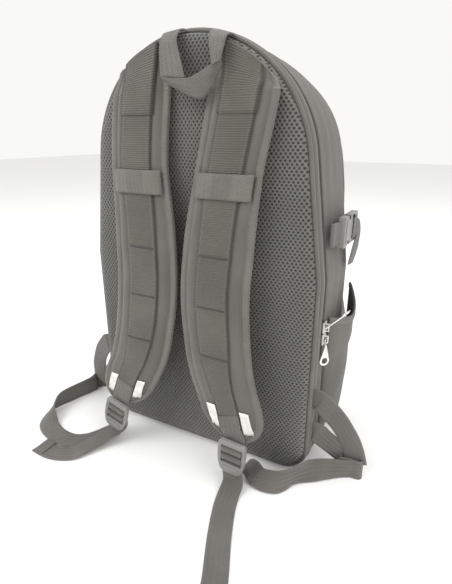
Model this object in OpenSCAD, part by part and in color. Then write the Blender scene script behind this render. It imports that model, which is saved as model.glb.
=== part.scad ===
// Racket backpack: padded back, two shoulder straps, clamshell main compartment,
// zipped front pocket, side pockets and compression straps.
// Z is up, the wearer's side faces -Y, and the origin is the middle of the base.

/* [Bag] */
// Width of the back panel
bag_w = 300; // [250:1:360]
// Height of the bag
bag_h = 485; // [405:1:585]
// Depth of the main compartment
main_d = 105; // [86:1:126]
// Depth of the front pocket in front of it
pocket_d = 55; // [44:1:66]
// Radius of the arched top
arch_r = 134; // [112:1:140]
// Height at which the sides turn upright
shoulder_z = 240; // [215:1:270]
// Radius of the two bottom corners
corner_r = 35; // [25:1:45]
// Radius of the upright front corners
front_r = 30; // [20:1:36]
// Thickness of the padded shell fabric
wall = 2; // [1.4:0.1:2.6]

/* [Back pad] */
// Thickness of the foam behind the wearer's back
foam_t = 9; // [7:0.5:11]
// Thickness of the air mesh over the foam
mesh_t = 3; // [2:0.5:4]
// Thickness of the stiffening sheet
sheet_t = 1.5; // [1:0.1:2]
// Diameter of the piping round the back pad
piping_d = 5; // [4:0.1:5.6]

/* [Zips] */
// Height of the two ends of the main zip
zip_end_z = 165; // [150:1:180]
// Width of the strip between the back pad and the main zip
rim_d = 12; // [9:1:16]
// Visible width of a closed zip chain
chain_w = 6; // [5:0.5:8]
// Length of a pull tab
pull_l = 33; // [26:1:38]
// Width of a pull tab at its round end
pull_w = 12; // [10:0.5:14]
// Diameter of the hole in a pull tab
pull_hole_d = 7.4; // [5:0.1:8]
// Angle at which the second pull is propped up
propped_angle = 137; // [100:1:150]

/* [Shoulder straps] */
// Thickness of the foam strap
strap_t = 12; // [9:1:14]
// Width of the strap at its widest
strap_w = 83; // [70:1:84]
// Width of the ribbed centre band
band_w = 40; // [34:1:46]
// Width of all adjusting webbing
webbing_w = 25; // [20:1:27]
// Thickness of webbing
webbing_t = 1.5; // [1.2:0.1:1.7]
// Distance of the buckle from the middle of the bag
lock_x = 82; // [72:1:92]
// Outward lean of the left buckle
lock_lean_l = 16; // [0:1:20]
// Outward lean of the right buckle
lock_lean_r = -4; // [-10:1:10]

/* [Pockets and side straps] */
// Height of a side pocket's mouth
side_pocket_z = 205; // [190:1:215]
// How far a side pocket stands out
side_pocket_d = 17; // [12:1:20]
// Height of the compression straps
side_strap_z = 288; // [265:1:300]
// Height at which the front pocket begins
pocket_z = 200; // [196:1:206]
// Set-back of the front pocket's outline from the bag's
pocket_inset = 14; // [10:1:18]

/* [Hidden] */

gap = 0.3;                              // clearance between pieces that move apart
half_w = bag_w / 2;
seam_y = -(main_d + pocket_d) / 2;      // seam between back pad and shell
front_y = seam_y + main_d;              // front of the main compartment
nose_y = front_y + pocket_d;            // front of the front pocket
rim_y = seam_y + rim_d;                 // where the main zip begins
chain_y = rim_y + chain_w;              // where it ends
mesh_y = seam_y - foam_t - mesh_t;      // face of the back pad
arch_z = bag_h - arch_r;                // centre of the arch
top_drop = 12;                          // fall of the top from back to front
chain_out = 0.6;                        // zip chain stands out of the shell
chain_in = 1.8;                         // and reaches this far inside
zip_mid_y = (rim_y + chain_y) / 2;
side_x = half_w;                        // outside of the upright sides

// ---- outlines -------------------------------------------------------------

function arc(cx, cy, r, a0, a1, n) =
    [for (i = [0:n]) let (a = a0 + (a1 - a0) * i / n) [cx + r * cos(a), cy + r * sin(a)]];

// angle at which the slanting shoulder line touches the arch
function touch(inset) =
    let (dx = half_w - inset, dz = shoulder_z - arch_z, r = arch_r - inset)
    atan2(dz, dx) + acos(r / sqrt(dx * dx + dz * dz));

// back-panel outline, moved in by inset; x across and z up
function outline(inset) =
    let (cx = half_w - corner_r, r = corner_r - inset, t = touch(inset))
    concat(arc(cx, corner_r, r, -90, 0, 6),
           [[half_w - inset, shoulder_z]],
           arc(0, arch_z, arch_r - inset, t, 180 - t, 30),
           [[-(half_w - inset), shoulder_z]],
           arc(-cx, corner_r, r, 180, 270, 6));

// outline of the bag seen from above, with round front corners
function plan(inset) =
    let (cx = half_w - front_r, cy = nose_y - front_r, r = front_r - inset)
    concat([[-(half_w - inset), seam_y - 2], [half_w - inset, seam_y - 2]],
           arc(cx, cy, r, 0, 90, 6), arc(-cx, cy, r, 90, 180, 6));

// the same for the narrower front pocket
function pocket_plan(inset) =
    let (i = pocket_inset + inset, cx = half_w - front_r - pocket_inset,
         cy = nose_y - front_r, r = front_r - inset)
    concat([[-(half_w - i), seam_y - 2], [half_w - i, seam_y - 2]],
           arc(cx, cy, r, 0, 90, 6), arc(-cx, cy, r, 90, 180, 6));

// side outlines; y along the depth and z up
function main_side(inset) =
    [[seam_y - 40, inset], [nose_y + 40, inset], [nose_y + 40, bag_h - top_drop - 5 - inset],
     [front_y, bag_h - top_drop - inset], [seam_y, bag_h - inset], [seam_y - 40, bag_h - inset]];

function pocket_side(inset) =
    let (z0 = bag_h * 0.72, rz = bag_h - 22 - z0 - inset, ry = pocket_d - inset)
    concat([[front_y - 2, pocket_z + inset], [nose_y - inset, pocket_z + inset]],
           [for (i = [0:12]) [front_y + ry * cos(i * 7.5), z0 + rz * sin(i * 7.5)]],
           [[front_y - 2, z0 + rz]]);

// lines between the lower shell, the fold and the upper shell
function lower_edge(y) = zip_end_z - 25 * (y - rim_y) / (nose_y - rim_y);
function upper_edge(y) =
    zip_end_z + gap + (pocket_z - zip_end_z - gap) * (y - rim_y) / (nose_y - rim_y);

// ---- helpers --------------------------------------------------------------

module along_y(y0, y1) rotate([90, 0, 0]) translate([0, 0, -y1]) linear_extrude(y1 - y0) children();
module along_x(x0, x1) rotate([90, 0, 90]) translate([0, 0, x0]) linear_extrude(x1 - x0) children();
module across(points) along_x(-400, 400) polygon(points);
module mirrored(side) if (side > 0) children(); else mirror([1, 0, 0]) children();

module block(x0, x1, y0, y1, z0, z1)
    translate([x0, y0, z0]) cube([x1 - x0, y1 - y0, z1 - z0]);

function unit(v) = v / max(norm(v), 1e-6);
function at_ends(list, i) = list[min(max(i, 0), len(list) - 1)];
function blend4(a, b, c, d, t) =
    0.5 * (2 * b + (c - a) * t + (2 * a - 5 * b + 4 * c - d) * t * t
           + (3 * b - a - 3 * c + d) * t * t * t);
function smooth(list, n) =
    concat([for (i = [0:len(list) - 2]) for (k = [0:n - 1])
                blend4(at_ends(list, i - 1), list[i], list[i + 1], at_ends(list, i + 2), k / n)],
           [list[len(list) - 1]]);

// closed solid through a row of rings that all have the same number of points
module skin(rings) {
    n = len(rings[0]);
    m = len(rings);
    sides = [for (i = [0:m - 2]) for (j = [0:n - 1]) for (half = [0:1])
        let (a = i * n + j, b = i * n + (j + 1) % n)
        half == 0 ? [a, b, b + n] : [a, b + n, a + n]];
    polyhedron(points = [for (r = rings) each r],
               faces = concat([[for (j = [n - 1:-1:0]) j]], sides,
                              [[for (j = [0:n - 1]) (m - 1) * n + j]]), convexity = 8);
}

// webbing through stations [x, y, z, wx, wy, wz]: a place and the direction of its width
module webbing(stations, w, t = webbing_t, n = 4) {
    s = smooth(stations, n);
    last = len(s) - 1;
    place = [for (p = s) [p[0], p[1], p[2]]];
    skin([for (i = [0:last])
        let (d = unit(place[min(i + 1, last)] - place[max(i - 1, 0)]),
             w0 = [s[i][3], s[i][4], s[i][5]],
             u = unit(w0 - d * (w0 * d)) * w / 2,
             v = unit(cross(d, u)) * t / 2)
        [place[i] - u - v, place[i] + u - v, place[i] + u + v, place[i] - u + v]]);
}

// ---- back pad and shell ---------------------------------------------------

module shell_region(inset, y0, y1)
    intersection() {
        along_y(y0, y1) polygon(outline(inset));
        across(main_side(inset));
        translate([0, 0, -5]) linear_extrude(bag_h + 20) polygon(plan(inset));
    }

module hollow(y0, y1) difference() {
    shell_region(0, y0, y1);
    shell_region(wall, y0 - 5, y1 - wall);
}

module lower_shell() color([0.20, 0.20, 0.20])
    intersection() {
        hollow(seam_y, nose_y);
        across([[seam_y - 1, -1], [nose_y + 1, -1], [nose_y + 1, lower_edge(nose_y + 1)],
                [rim_y, zip_end_z], [seam_y - 1, zip_end_z]]);
    }

module rear_rim() color([0.20, 0.20, 0.20])
    intersection() {
        difference() {
            shell_region(0, seam_y, rim_y);
            shell_region(wall, seam_y - 5, rim_y + 5);
        }
        block(-half_w - 5, half_w + 5, seam_y - 5, rim_y, zip_end_z, bag_h + 5);
    }

module back_wall() color([0.24, 0.24, 0.25])
    intersection() {
        along_y(seam_y + sheet_t, seam_y + sheet_t + 1.4) polygon(outline(wall));
        across(main_side(wall));
    }

module stiffener_sheet() color([0.75, 0.75, 0.73])
    along_y(seam_y, seam_y + sheet_t) polygon(outline(wall + 12));

module back_foam() color([0.55, 0.55, 0.55])
    along_y(seam_y - foam_t, seam_y) polygon(outline(piping_d + 4));

module back_mesh() color([0.22, 0.24, 0.24])
    difference() {
        union() {
            along_y(mesh_y + 3, seam_y) polygon(outline(piping_d + 1));
            along_y(mesh_y, mesh_y + 3) polygon(outline(piping_d + 5));
        }
        along_y(seam_y - foam_t, seam_y + 1) polygon(outline(piping_d + 4));
    }

module back_piping() color([0.16, 0.16, 0.16]) {
    path = outline(piping_d / 2 + 0.2);
    count = len(path);
    y = seam_y - piping_d / 2 - 0.2;
    rings = [for (i = [0:count - 1])
        let (d = unit(path[(i + 1) % count] - path[(i + count - 1) % count]), out = [d[1], -d[0]])
        [for (k = [0:7]) let (a = 45 * k, r = piping_d / 2)
            [path[i][0] + out[0] * r * cos(a), y + r * sin(a), path[i][1] + out[1] * r * cos(a)]]];
    points = [for (r = rings) each r];
    polyhedron(points = points,
               faces = [for (i = [0:count - 1]) for (j = [0:7]) for (half = [0:1])
                   let (a = i * 8 + j, b = i * 8 + (j + 1) % 8, m = (i + 1) % count,
                        c = m * 8 + (j + 1) % 8, d = m * 8 + j)
                   half == 0 ? [a, c, b] : [a, d, c]], convexity = 8);
}

module base_board() color([0.30, 0.30, 0.30])
    block(-half_w + corner_r + 4, half_w - corner_r - 4, seam_y + 8, nose_y - front_r,
          wall, wall + 2.5);

// the soft band that gathers up as the upper shell swings forward
module fold_gusset() color([0.19, 0.19, 0.19])
    intersection() {
        hollow(seam_y, nose_y);
        across([[chain_y + 3, lower_edge(chain_y + 3) + gap],
                [nose_y + 1, lower_edge(nose_y + 1) + gap],
                [nose_y + 1, upper_edge(nose_y) - gap],
                [front_y + 1, upper_edge(front_y) - gap],
                [chain_y + 3, upper_edge(chain_y + 3) - gap]]);
    }

// ---- main zip -------------------------------------------------------------

module chain_half(y0, y1)
    intersection() {
        difference() {
            along_y(y0, y1) polygon(outline(-chain_out));
            along_y(y0 - 1, y1 + 1) polygon(outline(chain_in));
        }
        across([[rim_y, upper_edge(rim_y)], [chain_y, upper_edge(chain_y)],
                [chain_y, bag_h + 5], [rim_y, bag_h + 5]]);
        across([[rim_y - 1, 0], [chain_y + 1, 0],
                [chain_y + 1, bag_h + chain_out - top_drop * (chain_y + 1 - seam_y) / main_d],
                [rim_y - 1, bag_h + chain_out - top_drop * (rim_y - 1 - seam_y) / main_d]]);
    }

module main_zip_rear() color([0.10, 0.10, 0.10]) chain_half(rim_y, zip_mid_y - gap / 2);
module main_zip_front() color([0.10, 0.10, 0.10]) chain_half(zip_mid_y + gap / 2, chain_y);

// slider lying on a side face: x is outwards, z is along the zip
slider_l = 13;
slider_w = chain_w + 4;
plate_x = 2;                            // underside of the slider's plate above the shell
plate_t = 1.4;
bar_x = plate_x + plate_t + 1.6;        // axis of the pull
crown_top = bar_x + 2.6;

module slider() {
    block(plate_x, plate_x + plate_t, -slider_w / 2, slider_w / 2, -slider_l / 2, slider_l / 2);
    for (s = [-1, 1])
        block(chain_out + gap, plate_x, s > 0 ? slider_w / 2 - 1.2 : -slider_w / 2,
              s > 0 ? slider_w / 2 : -slider_w / 2 + 1.2, -slider_l / 2, slider_l / 2);
    difference() {
        block(plate_x + plate_t, crown_top, -1.3, 1.3, -4.6, 4.6);
        block(plate_x + plate_t - 1, crown_top - 1.2, -2, 2, -3.2, 3.2);
    }
}

// pull tab hanging down from the origin, lying in the plane of the face
module pull() {
    r = pull_w / 2;
    difference() {
        union() {
            translate([-0.6, 0, 0]) rotate([90, 0, 90]) linear_extrude(1.2) polygon(concat(
                [[-3.6, 0.9], [-3.6, -9]], arc(0, r - pull_l, r, 180, 360, 12),
                [[3.6, -9], [3.6, 0.9]]));
            translate([0, -3.6, 0]) rotate([-90, 0, 0]) cylinder(d = 1.8, h = 7.2, $fn = 24);
        }
        block(-2, 2, -1.9, 1.9, -8.2, -0.9);
        translate([-2, 0, r - pull_l]) rotate([0, 90, 0]) cylinder(d = pull_hole_d, h = 4, $fn = 32);
    }
}

slider_a_z = zip_end_z + slider_l / 2 + 2;
slider_b_z = slider_a_z + slider_l + 1;
module on_side(z) translate([side_x, zip_mid_y, z]) children();

module main_slider_a() color([0.75, 0.75, 0.74]) on_side(slider_a_z) slider();
module main_pull_a() color([0.88, 0.88, 0.86])
    on_side(slider_a_z) translate([bar_x, 0, 0]) pull();
module main_slider_b() color([0.75, 0.75, 0.74]) on_side(slider_b_z) slider();
module main_pull_b() color([0.88, 0.88, 0.86])
    on_side(slider_b_z) translate([bar_x, 0, 0]) rotate([0, -propped_angle, 0]) pull();

// ---- upper shell and front pocket -----------------------------------------

module upper_shell() color([0.20, 0.20, 0.20])
    intersection() {
        hollow(chain_y, front_y);
        across([[chain_y, upper_edge(chain_y)], [front_y, upper_edge(front_y)],
                [front_y, bag_h + 5], [chain_y, bag_h + 5]]);
    }

module pocket_region(inset)
    intersection() {
        along_y(front_y - 1, nose_y + 1) polygon(outline(pocket_inset + inset));
        across(pocket_side(inset));
        translate([0, 0, 5]) linear_extrude(bag_h) polygon(pocket_plan(inset));
    }

lid_z = pocket_z + 16;                  // fold at the bottom of the pocket's lid
lid_y = nose_y - front_r;               // front of the pocket's zip
pocket_zip_y = lid_y - 4;
pocket_zip_mid = lid_y - 2;

module front_pocket() color([0.20, 0.20, 0.20]) {
    difference() {
        intersection() {
            pocket_region(0);
            across([[front_y, 0], [nose_y + 1, 0], [nose_y + 1, lid_z - gap],
                    [pocket_zip_y, lid_z - gap], [pocket_zip_y, bag_h], [front_y, bag_h]]);
        }
        pocket_region(wall);
    }
    intersection() {
        shell_region(0, front_y, nose_y);
        difference() {
            block(-half_w - 1, half_w + 1, front_y, nose_y + 1, pocket_z, pocket_z + wall);
            pocket_region(0);
        }
    }
}

module pocket_chain(y0, y1)
    intersection() {
        difference() {
            pocket_region(-chain_out);
            pocket_region(chain_in);
        }
        block(-half_w, half_w, y0, y1, lid_z, bag_h);
    }

module front_zip_body() color([0.10, 0.10, 0.10])
    pocket_chain(pocket_zip_y, pocket_zip_mid - gap / 2);
module front_zip_lid() color([0.10, 0.10, 0.10])
    pocket_chain(pocket_zip_mid + gap / 2, lid_y);

module pocket_lid() color([0.20, 0.20, 0.20])
    difference() {
        intersection() {
            pocket_region(0);
            block(-half_w, half_w, lid_y, nose_y + 1, lid_z, bag_h);
        }
        difference() {
            pocket_region(wall);
            block(-half_w, half_w, 0, nose_y + 1, 0, lid_z + wall);
        }
    }

front_slider_z = pocket_z + wall + pull_l + 3;
module on_pocket(z)
    translate([-(half_w - pocket_inset), pocket_zip_mid, z]) mirror([1, 0, 0]) children();
module front_slider() color([0.75, 0.75, 0.74]) on_pocket(front_slider_z) slider();
module front_pull() color([0.88, 0.88, 0.86])
    on_pocket(front_slider_z) translate([bar_x, 0, 0]) pull();

// ---- side pockets ---------------------------------------------------------

pocket_y0 = chain_y + 8;
pocket_y1 = front_y + 12;
pocket_floor = corner_r + 3;
pocket_off = chain_out + gap;            // clear of the upper shell's zip as it swings

function bulge(depth, y0, y1, n) =
    [for (i = [0:n]) let (a = 180 * i / n)
        [side_x + 0.6 + depth * pow(sin(a), 0.8), (y0 + y1) / 2 - (y1 - y0) / 2 * cos(a)]];

module pocket_block(depth, y0, y1, z0, z1)
    translate([0, 0, z0]) linear_extrude(z1 - z0)
        polygon(concat([[side_x, y0]], bulge(depth, y0, y1, 14), [[side_x, y1]]));

module side_pocket(side) color([0.20, 0.20, 0.20]) mirrored(side)
    difference() {
        pocket_block(side_pocket_d, pocket_y0, pocket_y1, pocket_floor, side_pocket_z - 8);
        pocket_block(side_pocket_d - 1.6, pocket_y0 + 4, pocket_y1 - 4,
                     pocket_floor + 1.6, side_pocket_z + 1);
        block(side_x - 1, side_x + pocket_off, pocket_y0 - 1, pocket_y1 + 1,
              lower_edge(pocket_y1) - 8, 400);
    }

module pocket_elastic(side) color([0.12, 0.12, 0.12]) mirrored(side)
    difference() {
        pocket_block(side_pocket_d, pocket_y0, pocket_y1, side_pocket_z - 8, side_pocket_z);
        pocket_block(side_pocket_d - 2, pocket_y0 + 4, pocket_y1 - 4,
                     side_pocket_z - 9, side_pocket_z + 1);
        block(side_x - 1, side_x + pocket_off, pocket_y0 - 1, pocket_y1 + 1, 0, 400);
    }

// ---- side compression straps ----------------------------------------------

strap_x = side_x + 1.4;                 // middle of the webbing lying on the side
buckle_x = side_x + 6;                  // middle of the side-release buckle
socket_y0 = chain_y + 18;
socket_l = 29;
plug_y0 = socket_y0 + socket_l + 0.4;
plug_l = 26;

module side_strap(side) color([0.16, 0.16, 0.16]) mirrored(side) {
    z = side_strap_z;
    webbing([[strap_x, chain_y + 1, z, 0, 0, 1], [strap_x, chain_y + 7, z, 0, 0, 1],
             [side_x + 4, chain_y + 13, z, 0, 0, 1], [side_x + 5.4, socket_y0 - 0.6, z, 0, 0, 1]],
            webbing_w);
}

// webbing from the front seam to the plug; its free end is the side tail
module side_anchor(side) color([0.16, 0.16, 0.16]) mirrored(side) {
    z = side_strap_z;
    webbing([[strap_x, front_y - 1, z, 0, 0, 1], [strap_x, front_y - 5, z, 0, 0, 1],
             [side_x + 2.4, plug_y0 + plug_l + 0.6, z, 0, 0, 1]], webbing_w - 1);
}

// socket: open at the front for the plug's three prongs
module buckle_socket(side) color([0.32, 0.32, 0.31]) mirrored(side)
    translate([buckle_x, socket_y0, side_strap_z])
    difference() {
        union() {
            block(-4, 4, 0, 5, -16.5, 16.5);
            block(-4, 4, 9, socket_l, -16.5, 16.5);
            for (s = [-1, 1]) block(-4, 4, 4, 10, s > 0 ? 13.5 : -16.5, s > 0 ? 16.5 : -13.5);
        }
        block(-2.4, 2.4, 12, socket_l + 1, -14.5, 14.5);
        for (s = [-1, 1])
            block(-5, 5, 15, 24, s > 0 ? 12 : -17, s > 0 ? 17 : -12);
    }

// plug: two cross bars for the webbing and three prongs that slide into the socket
module buckle_plug(side) color([0.32, 0.32, 0.31]) mirrored(side)
    translate([buckle_x, plug_y0, side_strap_z])
    difference() {
        union() {
            block(-4, 4, 0, plug_l, -16.5, 16.5);
            block(-1.6, 1.6, -15, 1, -2.4, 2.4);
            for (s = [-1, 1])
                block(-1.8, 1.8, -15, 1, s > 0 ? 8.4 : -13.6, s > 0 ? 13.6 : -8.4);
        }
        block(-5, 5, 5, 10, -13.5, 13.5);
        block(-5, 5, 14, 20, -13.5, 13.5);
    }

// free end that comes out over the plug and hangs down beside the bag
module side_tail(side) color([0.16, 0.16, 0.16]) mirrored(side) {
    y = plug_y0 + 4;
    z = side_strap_z;
    webbing([[side_x + 11.4, y, z, 0, 0, 1], [side_x + 11.6, y + 8, z, 0, 0, 1],
             [side_x + 12.8, y + 16, z - 3, 0, 0.4, 1], [side_x + 13, y + 21, z - 12, 0, 1, 0.5],
             [side_x + 11, y + 20, z - 26, 0, 1, 0], [side_x + 8, y + 18, z - 46, 0, 1, 0]],
            webbing_w - 2);
}

// ---- grab handle ----------------------------------------------------------

handle_x = 26;                          // from the middle to the middle of a leg
handle_drop = 56;
handle_y = mesh_y - 13;
handle_z = bag_h - 7;

module grab_handle() color([0.17, 0.17, 0.17])
    webbing([[-handle_x, handle_y, handle_z, 1, 0, 0], [-handle_x, handle_y - 3, handle_z - 14, 1, 0, 0],
             [-handle_x, handle_y - 5, handle_z - 26, 1, 0, 0.1],
             [-handle_x * 0.75, handle_y - 8, handle_z - handle_drop * 0.8, 0.75, 0, 0.66],
             [0, handle_y - 10, handle_z - handle_drop, 0, 0, 1],
             [handle_x * 0.75, handle_y - 8, handle_z - handle_drop * 0.8, -0.75, 0, 0.66],
             [handle_x, handle_y - 5, handle_z - 26, -1, 0, 0.1],
             [handle_x, handle_y - 3, handle_z - 14, -1, 0, 0], [handle_x, handle_y, handle_z, -1, 0, 0]],
            webbing_w - 3, webbing_t, 4);

// ---- shoulder straps ------------------------------------------------------

strap_top_z = bag_h - 47;
strap_end_z = 66;

// share of the way up, with the middle of the strap, its share of the full width,
// how far its face stands off the seam, and its share of the full thickness
strap_line = [
    [0.00, 82, 0.16, 61, 0.60], [0.03, 79, 0.72, 60, 0.80], [0.06, 75, 0.88, 59, 0.95],
    [0.10, 69, 0.95, 57, 1.00], [0.16, 61, 0.98, 55, 1.00], [0.22, 54, 0.99, 53, 1.00],
    [0.29, 50, 1.00, 51, 1.00], [0.37, 46, 1.00, 48, 1.00], [0.45, 45, 1.00, 46, 1.00],
    [0.53, 46, 0.99, 43, 1.00], [0.63, 50, 0.95, 39, 1.00], [0.77, 55, 0.92, 34, 1.00],
    [0.90, 59, 0.91, 28, 0.95], [1.00, 60, 0.88, 22.5, 0.66]];

function along(column, s) = lookup(s, [for (row = strap_line) [row[0], row[column]]]);
function strap_z(s) = strap_end_z + s * (strap_top_z - strap_end_z);
function share(z) = (z - strap_end_z) / (strap_top_z - strap_end_z);
function strap_mid(s) = along(1, s) + (lock_x - 82) * (1 - s);
function strap_face(s) = seam_y - along(3, s);

// one ring of a layer on the strap: left and right edge from its middle, and the
// layer's back and front measured outwards from the strap's face
function layer_ring(s, left, right, back, front, round) =
    let (x = strap_mid(s), y = strap_face(s), z = strap_z(s),
         c = min(round, (right - left) / 2.2, (front - back) / 2.2))
    [for (p = [[left, back + c], [left + c, back], [right - c, back], [right, back + c],
               [right, front - c], [right - c, front], [left + c, front], [left, front - c]])
        [x + p[0], y - p[1], z]];

module strap_foam(side) color([0.21, 0.21, 0.21]) mirrored(side)
    skin([for (i = [0:44])
        let (s = i < 10 ? 0.012 * i : 0.12 + 0.88 * (i - 10) / 34,
             w = strap_w * along(2, s), t = strap_t * along(4, s))
        layer_ring(s, -w / 2, w / 2, -t, 0, 3.5)]);

module layer(z0, z1, l0, r0, l1, r1, back, front, n = 8)
    skin([for (i = [0:n]) let (k = i / n)
        layer_ring(share(z0 + (z1 - z0) * k), l0 + (l1 - l0) * k, r0 + (r1 - r0) * k,
                   back, front, 0.1)]);

band_end_z = strap_end_z + 28;
module strap_band(side) color([0.18, 0.18, 0.18]) mirrored(side) {
    layer(band_end_z, band_end_z + 90, -webbing_w / 2 - 1, webbing_w / 2 + 1,
          -band_w / 2, band_w / 2, 0.2, 1.6, 10);
    layer(band_end_z + 90.2, strap_top_z - 1, -band_w / 2, band_w / 2,
          -band_w / 2, band_w / 2, 0.2, 1.6, 22);
}

crossbar_z = bag_h * 0.67;
module strap_crossbar(side) color([0.19, 0.19, 0.19]) mirrored(side)
    layer(crossbar_z, crossbar_z + webbing_w, -band_w / 2 - 11, band_w / 2 + 11,
          -band_w / 2 - 11, band_w / 2 + 11, 2.0, 3.3, 4);

module strap_reflectors(side) color([0.85, 0.85, 0.80]) mirrored(side)
    for (s = [-1, 1]) {
        near = webbing_w / 2 + 3;
        layer(strap_end_z + 11, strap_end_z + 32, s > 0 ? near : -near - 7,
              s > 0 ? near + 7 : -near, s > 0 ? near + 1.6 : -near - 13,
              s > 0 ? near + 13 : -near - 1.6, 0.2, 0.7, 4);
    }

module strap_root(side) color([0.20, 0.20, 0.20]) mirrored(side)
    along_y(mesh_y - 8, mesh_y - 0.1) intersection() {
        polygon(outline(piping_d + 6));
        translate([strap_mid(1) - strap_w * 0.44, strap_top_z + 2.5])
            square([strap_w * 0.88, arch_r]);
    }

// ---- ladder locks and webbing ---------------------------------------------

// a lock's own frame: x across, y to the back, z up, origin at the top of its bars
lock_h = 43;
rail_w = 3.6;
lock_w = webbing_w + 1 + 2 * rail_w;
bar_1 = -12.5;
bar_2 = -22.5;
wrap_r = 2 + webbing_t / 2 + 0.35;
lock_z = strap_end_z - 1;
lock_y = strap_face(0) - 5.5;           // in front of the strap's face

function lean(side) = side > 0 ? lock_lean_r : lock_lean_l;
module at_lock(side)
    translate([lock_x, lock_y, lock_z]) rotate([0, -lean(side), 0]) children();

// a point of the lock's frame, in the bag's frame of the right-hand side
function from_lock(side, p) =
    let (a = -lean(side))
    [lock_x + p[0] * cos(a) + p[2] * sin(a), lock_y + p[1], lock_z - p[0] * sin(a) + p[2] * cos(a)];
function lock_across(side) = [cos(lean(side)), 0, sin(lean(side))];
function station(side, y, z) = concat(from_lock(side, [0, y, z]), lock_across(side));

module lock_plate() {
    w = lock_w / 2;
    along_y(-2, 2) difference() {
        polygon(concat(arc(w - 4, -4, 4, 0, 90, 5), arc(-w + 4, -4, 4, 90, 180, 5),
                       [[-w - 0.6, -16], [-w, -28]], arc(-w + 11, -lock_h + 9, 9, 190, 270, 6),
                       arc(w - 11, -lock_h + 9, 9, 270, 350, 6), [[w, -28], [w + 0.6, -16]]));
        translate([-w + rail_w, -30.6]) square([lock_w - 2 * rail_w, 23.6]);
    }
    for (z = [bar_1, bar_2])
        translate([-w + 1, 0, z]) rotate([0, 90, 0]) cylinder(r = 2, h = lock_w - 2, $fn = 24);
    along_y(-3.4, -1.9) polygon(concat(arc(-8, -36, 2, 90, 270, 5), arc(8, -36, 2, -90, 90, 5)));
}

module ladder_lock(side) color([0.40, 0.40, 0.39]) mirrored(side) at_lock(side) lock_plate();

function wrap(side, bar, a0, a1, n) =
    [for (i = [0:n]) let (a = a0 + (a1 - a0) * i / n)
        station(side, -wrap_r * cos(a), bar + wrap_r * sin(a))];

// short loop round the upper bar, sewn under the end of the centre band
module lock_loop(side) color([0.17, 0.17, 0.17]) mirrored(side)
    webbing(concat(
        [for (z = [band_end_z - 4.6, band_end_z - 13])
            concat([strap_mid(share(z)), strap_face(share(z)) - 1.1, z], lock_across(side))],
        [for (p = [[4.4, 5], [4.6, 1], [5.2, -6]]) station(side, p[0], p[1])],
        wrap(side, bar_1, 190, 450, 9),
        [for (p = [[2.3, -8.8], [3.0, -5.8], [3.0, -1.5]]) station(side, p[0], p[1])]),
        webbing_w - 1, webbing_t - 0.2, 2);

// free end of the webbing: over the lower bar, out behind the tab and away
module tail(side) color([0.17, 0.17, 0.17]) mirrored(side) {
    far = side > 0
        ? [[lock_x, lock_y + 1, 9, 1, 0, 0], [lock_x + 1, lock_y - 12, 2, 1, 0.1, 0],
           [lock_x + 6, lock_y - 32, 1, 1, 0.3, 0], [lock_x + 19, lock_y - 66, 1, 1, 0.4, 0],
           [lock_x + 36, lock_y - 104, 1, 1, 0.42, 0], [lock_x + 48, lock_y - 134, 1, 1, 0.4, 0]]
        : [[lock_x + 16, lock_y, 16, 1, 0.2, -0.2], [lock_x + 25, lock_y - 13, 9, 0.9, 0.4, 0],
           [lock_x + 34, lock_y - 31, 5, 0.9, 0.5, 0], [lock_x + 43, lock_y - 46, 2.2, 0.6, 0.8, 0],
           [lock_x + 66, lock_y - 55, 1, 0.1, 1, 0], [lock_x + 93, lock_y - 54, 1, -0.05, 1, 0]];
    webbing(concat(
        [station(side, 5.0, bar_2 + 1.5), station(side, 3.4, bar_2 + 2.9)],
        wrap(side, bar_2, 120, -50, 8),
        [station(side, 1.5, bar_2 - 5.1), station(side, 3.2, bar_2 - 8), station(side, 3.6, -lock_h + 1)],
        far), webbing_w, webbing_t, 3);
}

// two legs of webbing from the bag's lower corner that meet in an upright fold
apex = [side_x + 53, seam_y + 20, 13];
module corner_yoke(side) color([0.17, 0.17, 0.17]) mirrored(side) {
    webbing([[side_x + 1.4, seam_y + 2.4, 103, 0, 0, 1], [side_x + 5.5, seam_y + 2.4, 102.5, 0, 0, 1],
             [side_x + 12, seam_y + 3, 98, 0.1, 0, 1],
             [side_x + 30, seam_y + 9, 76, 0.5, 0, 0.8], [side_x + 45, seam_y + 17, 45, 0.9, 0, 0.5],
             [apex[0] - 1, apex[1] + 2, 15, 0.6, 0, 0.8]], webbing_w, webbing_t, 4);
    webbing([[side_x + 4.4, seam_y + 4.6, 58, 0, 0, 1], [side_x + 8.2, seam_y + 5.4, 57.3, 0, 0, 1],
             [side_x + 13, seam_y + 9, 49, 0.2, 0, 1],
             [side_x + 32, seam_y + 18, 30, 0.3, 0, 1], [apex[0] - 6, apex[1] + 6, apex[2] + 3, 0, 0, 1]],
            webbing_w, webbing_t, 4);
}

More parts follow.
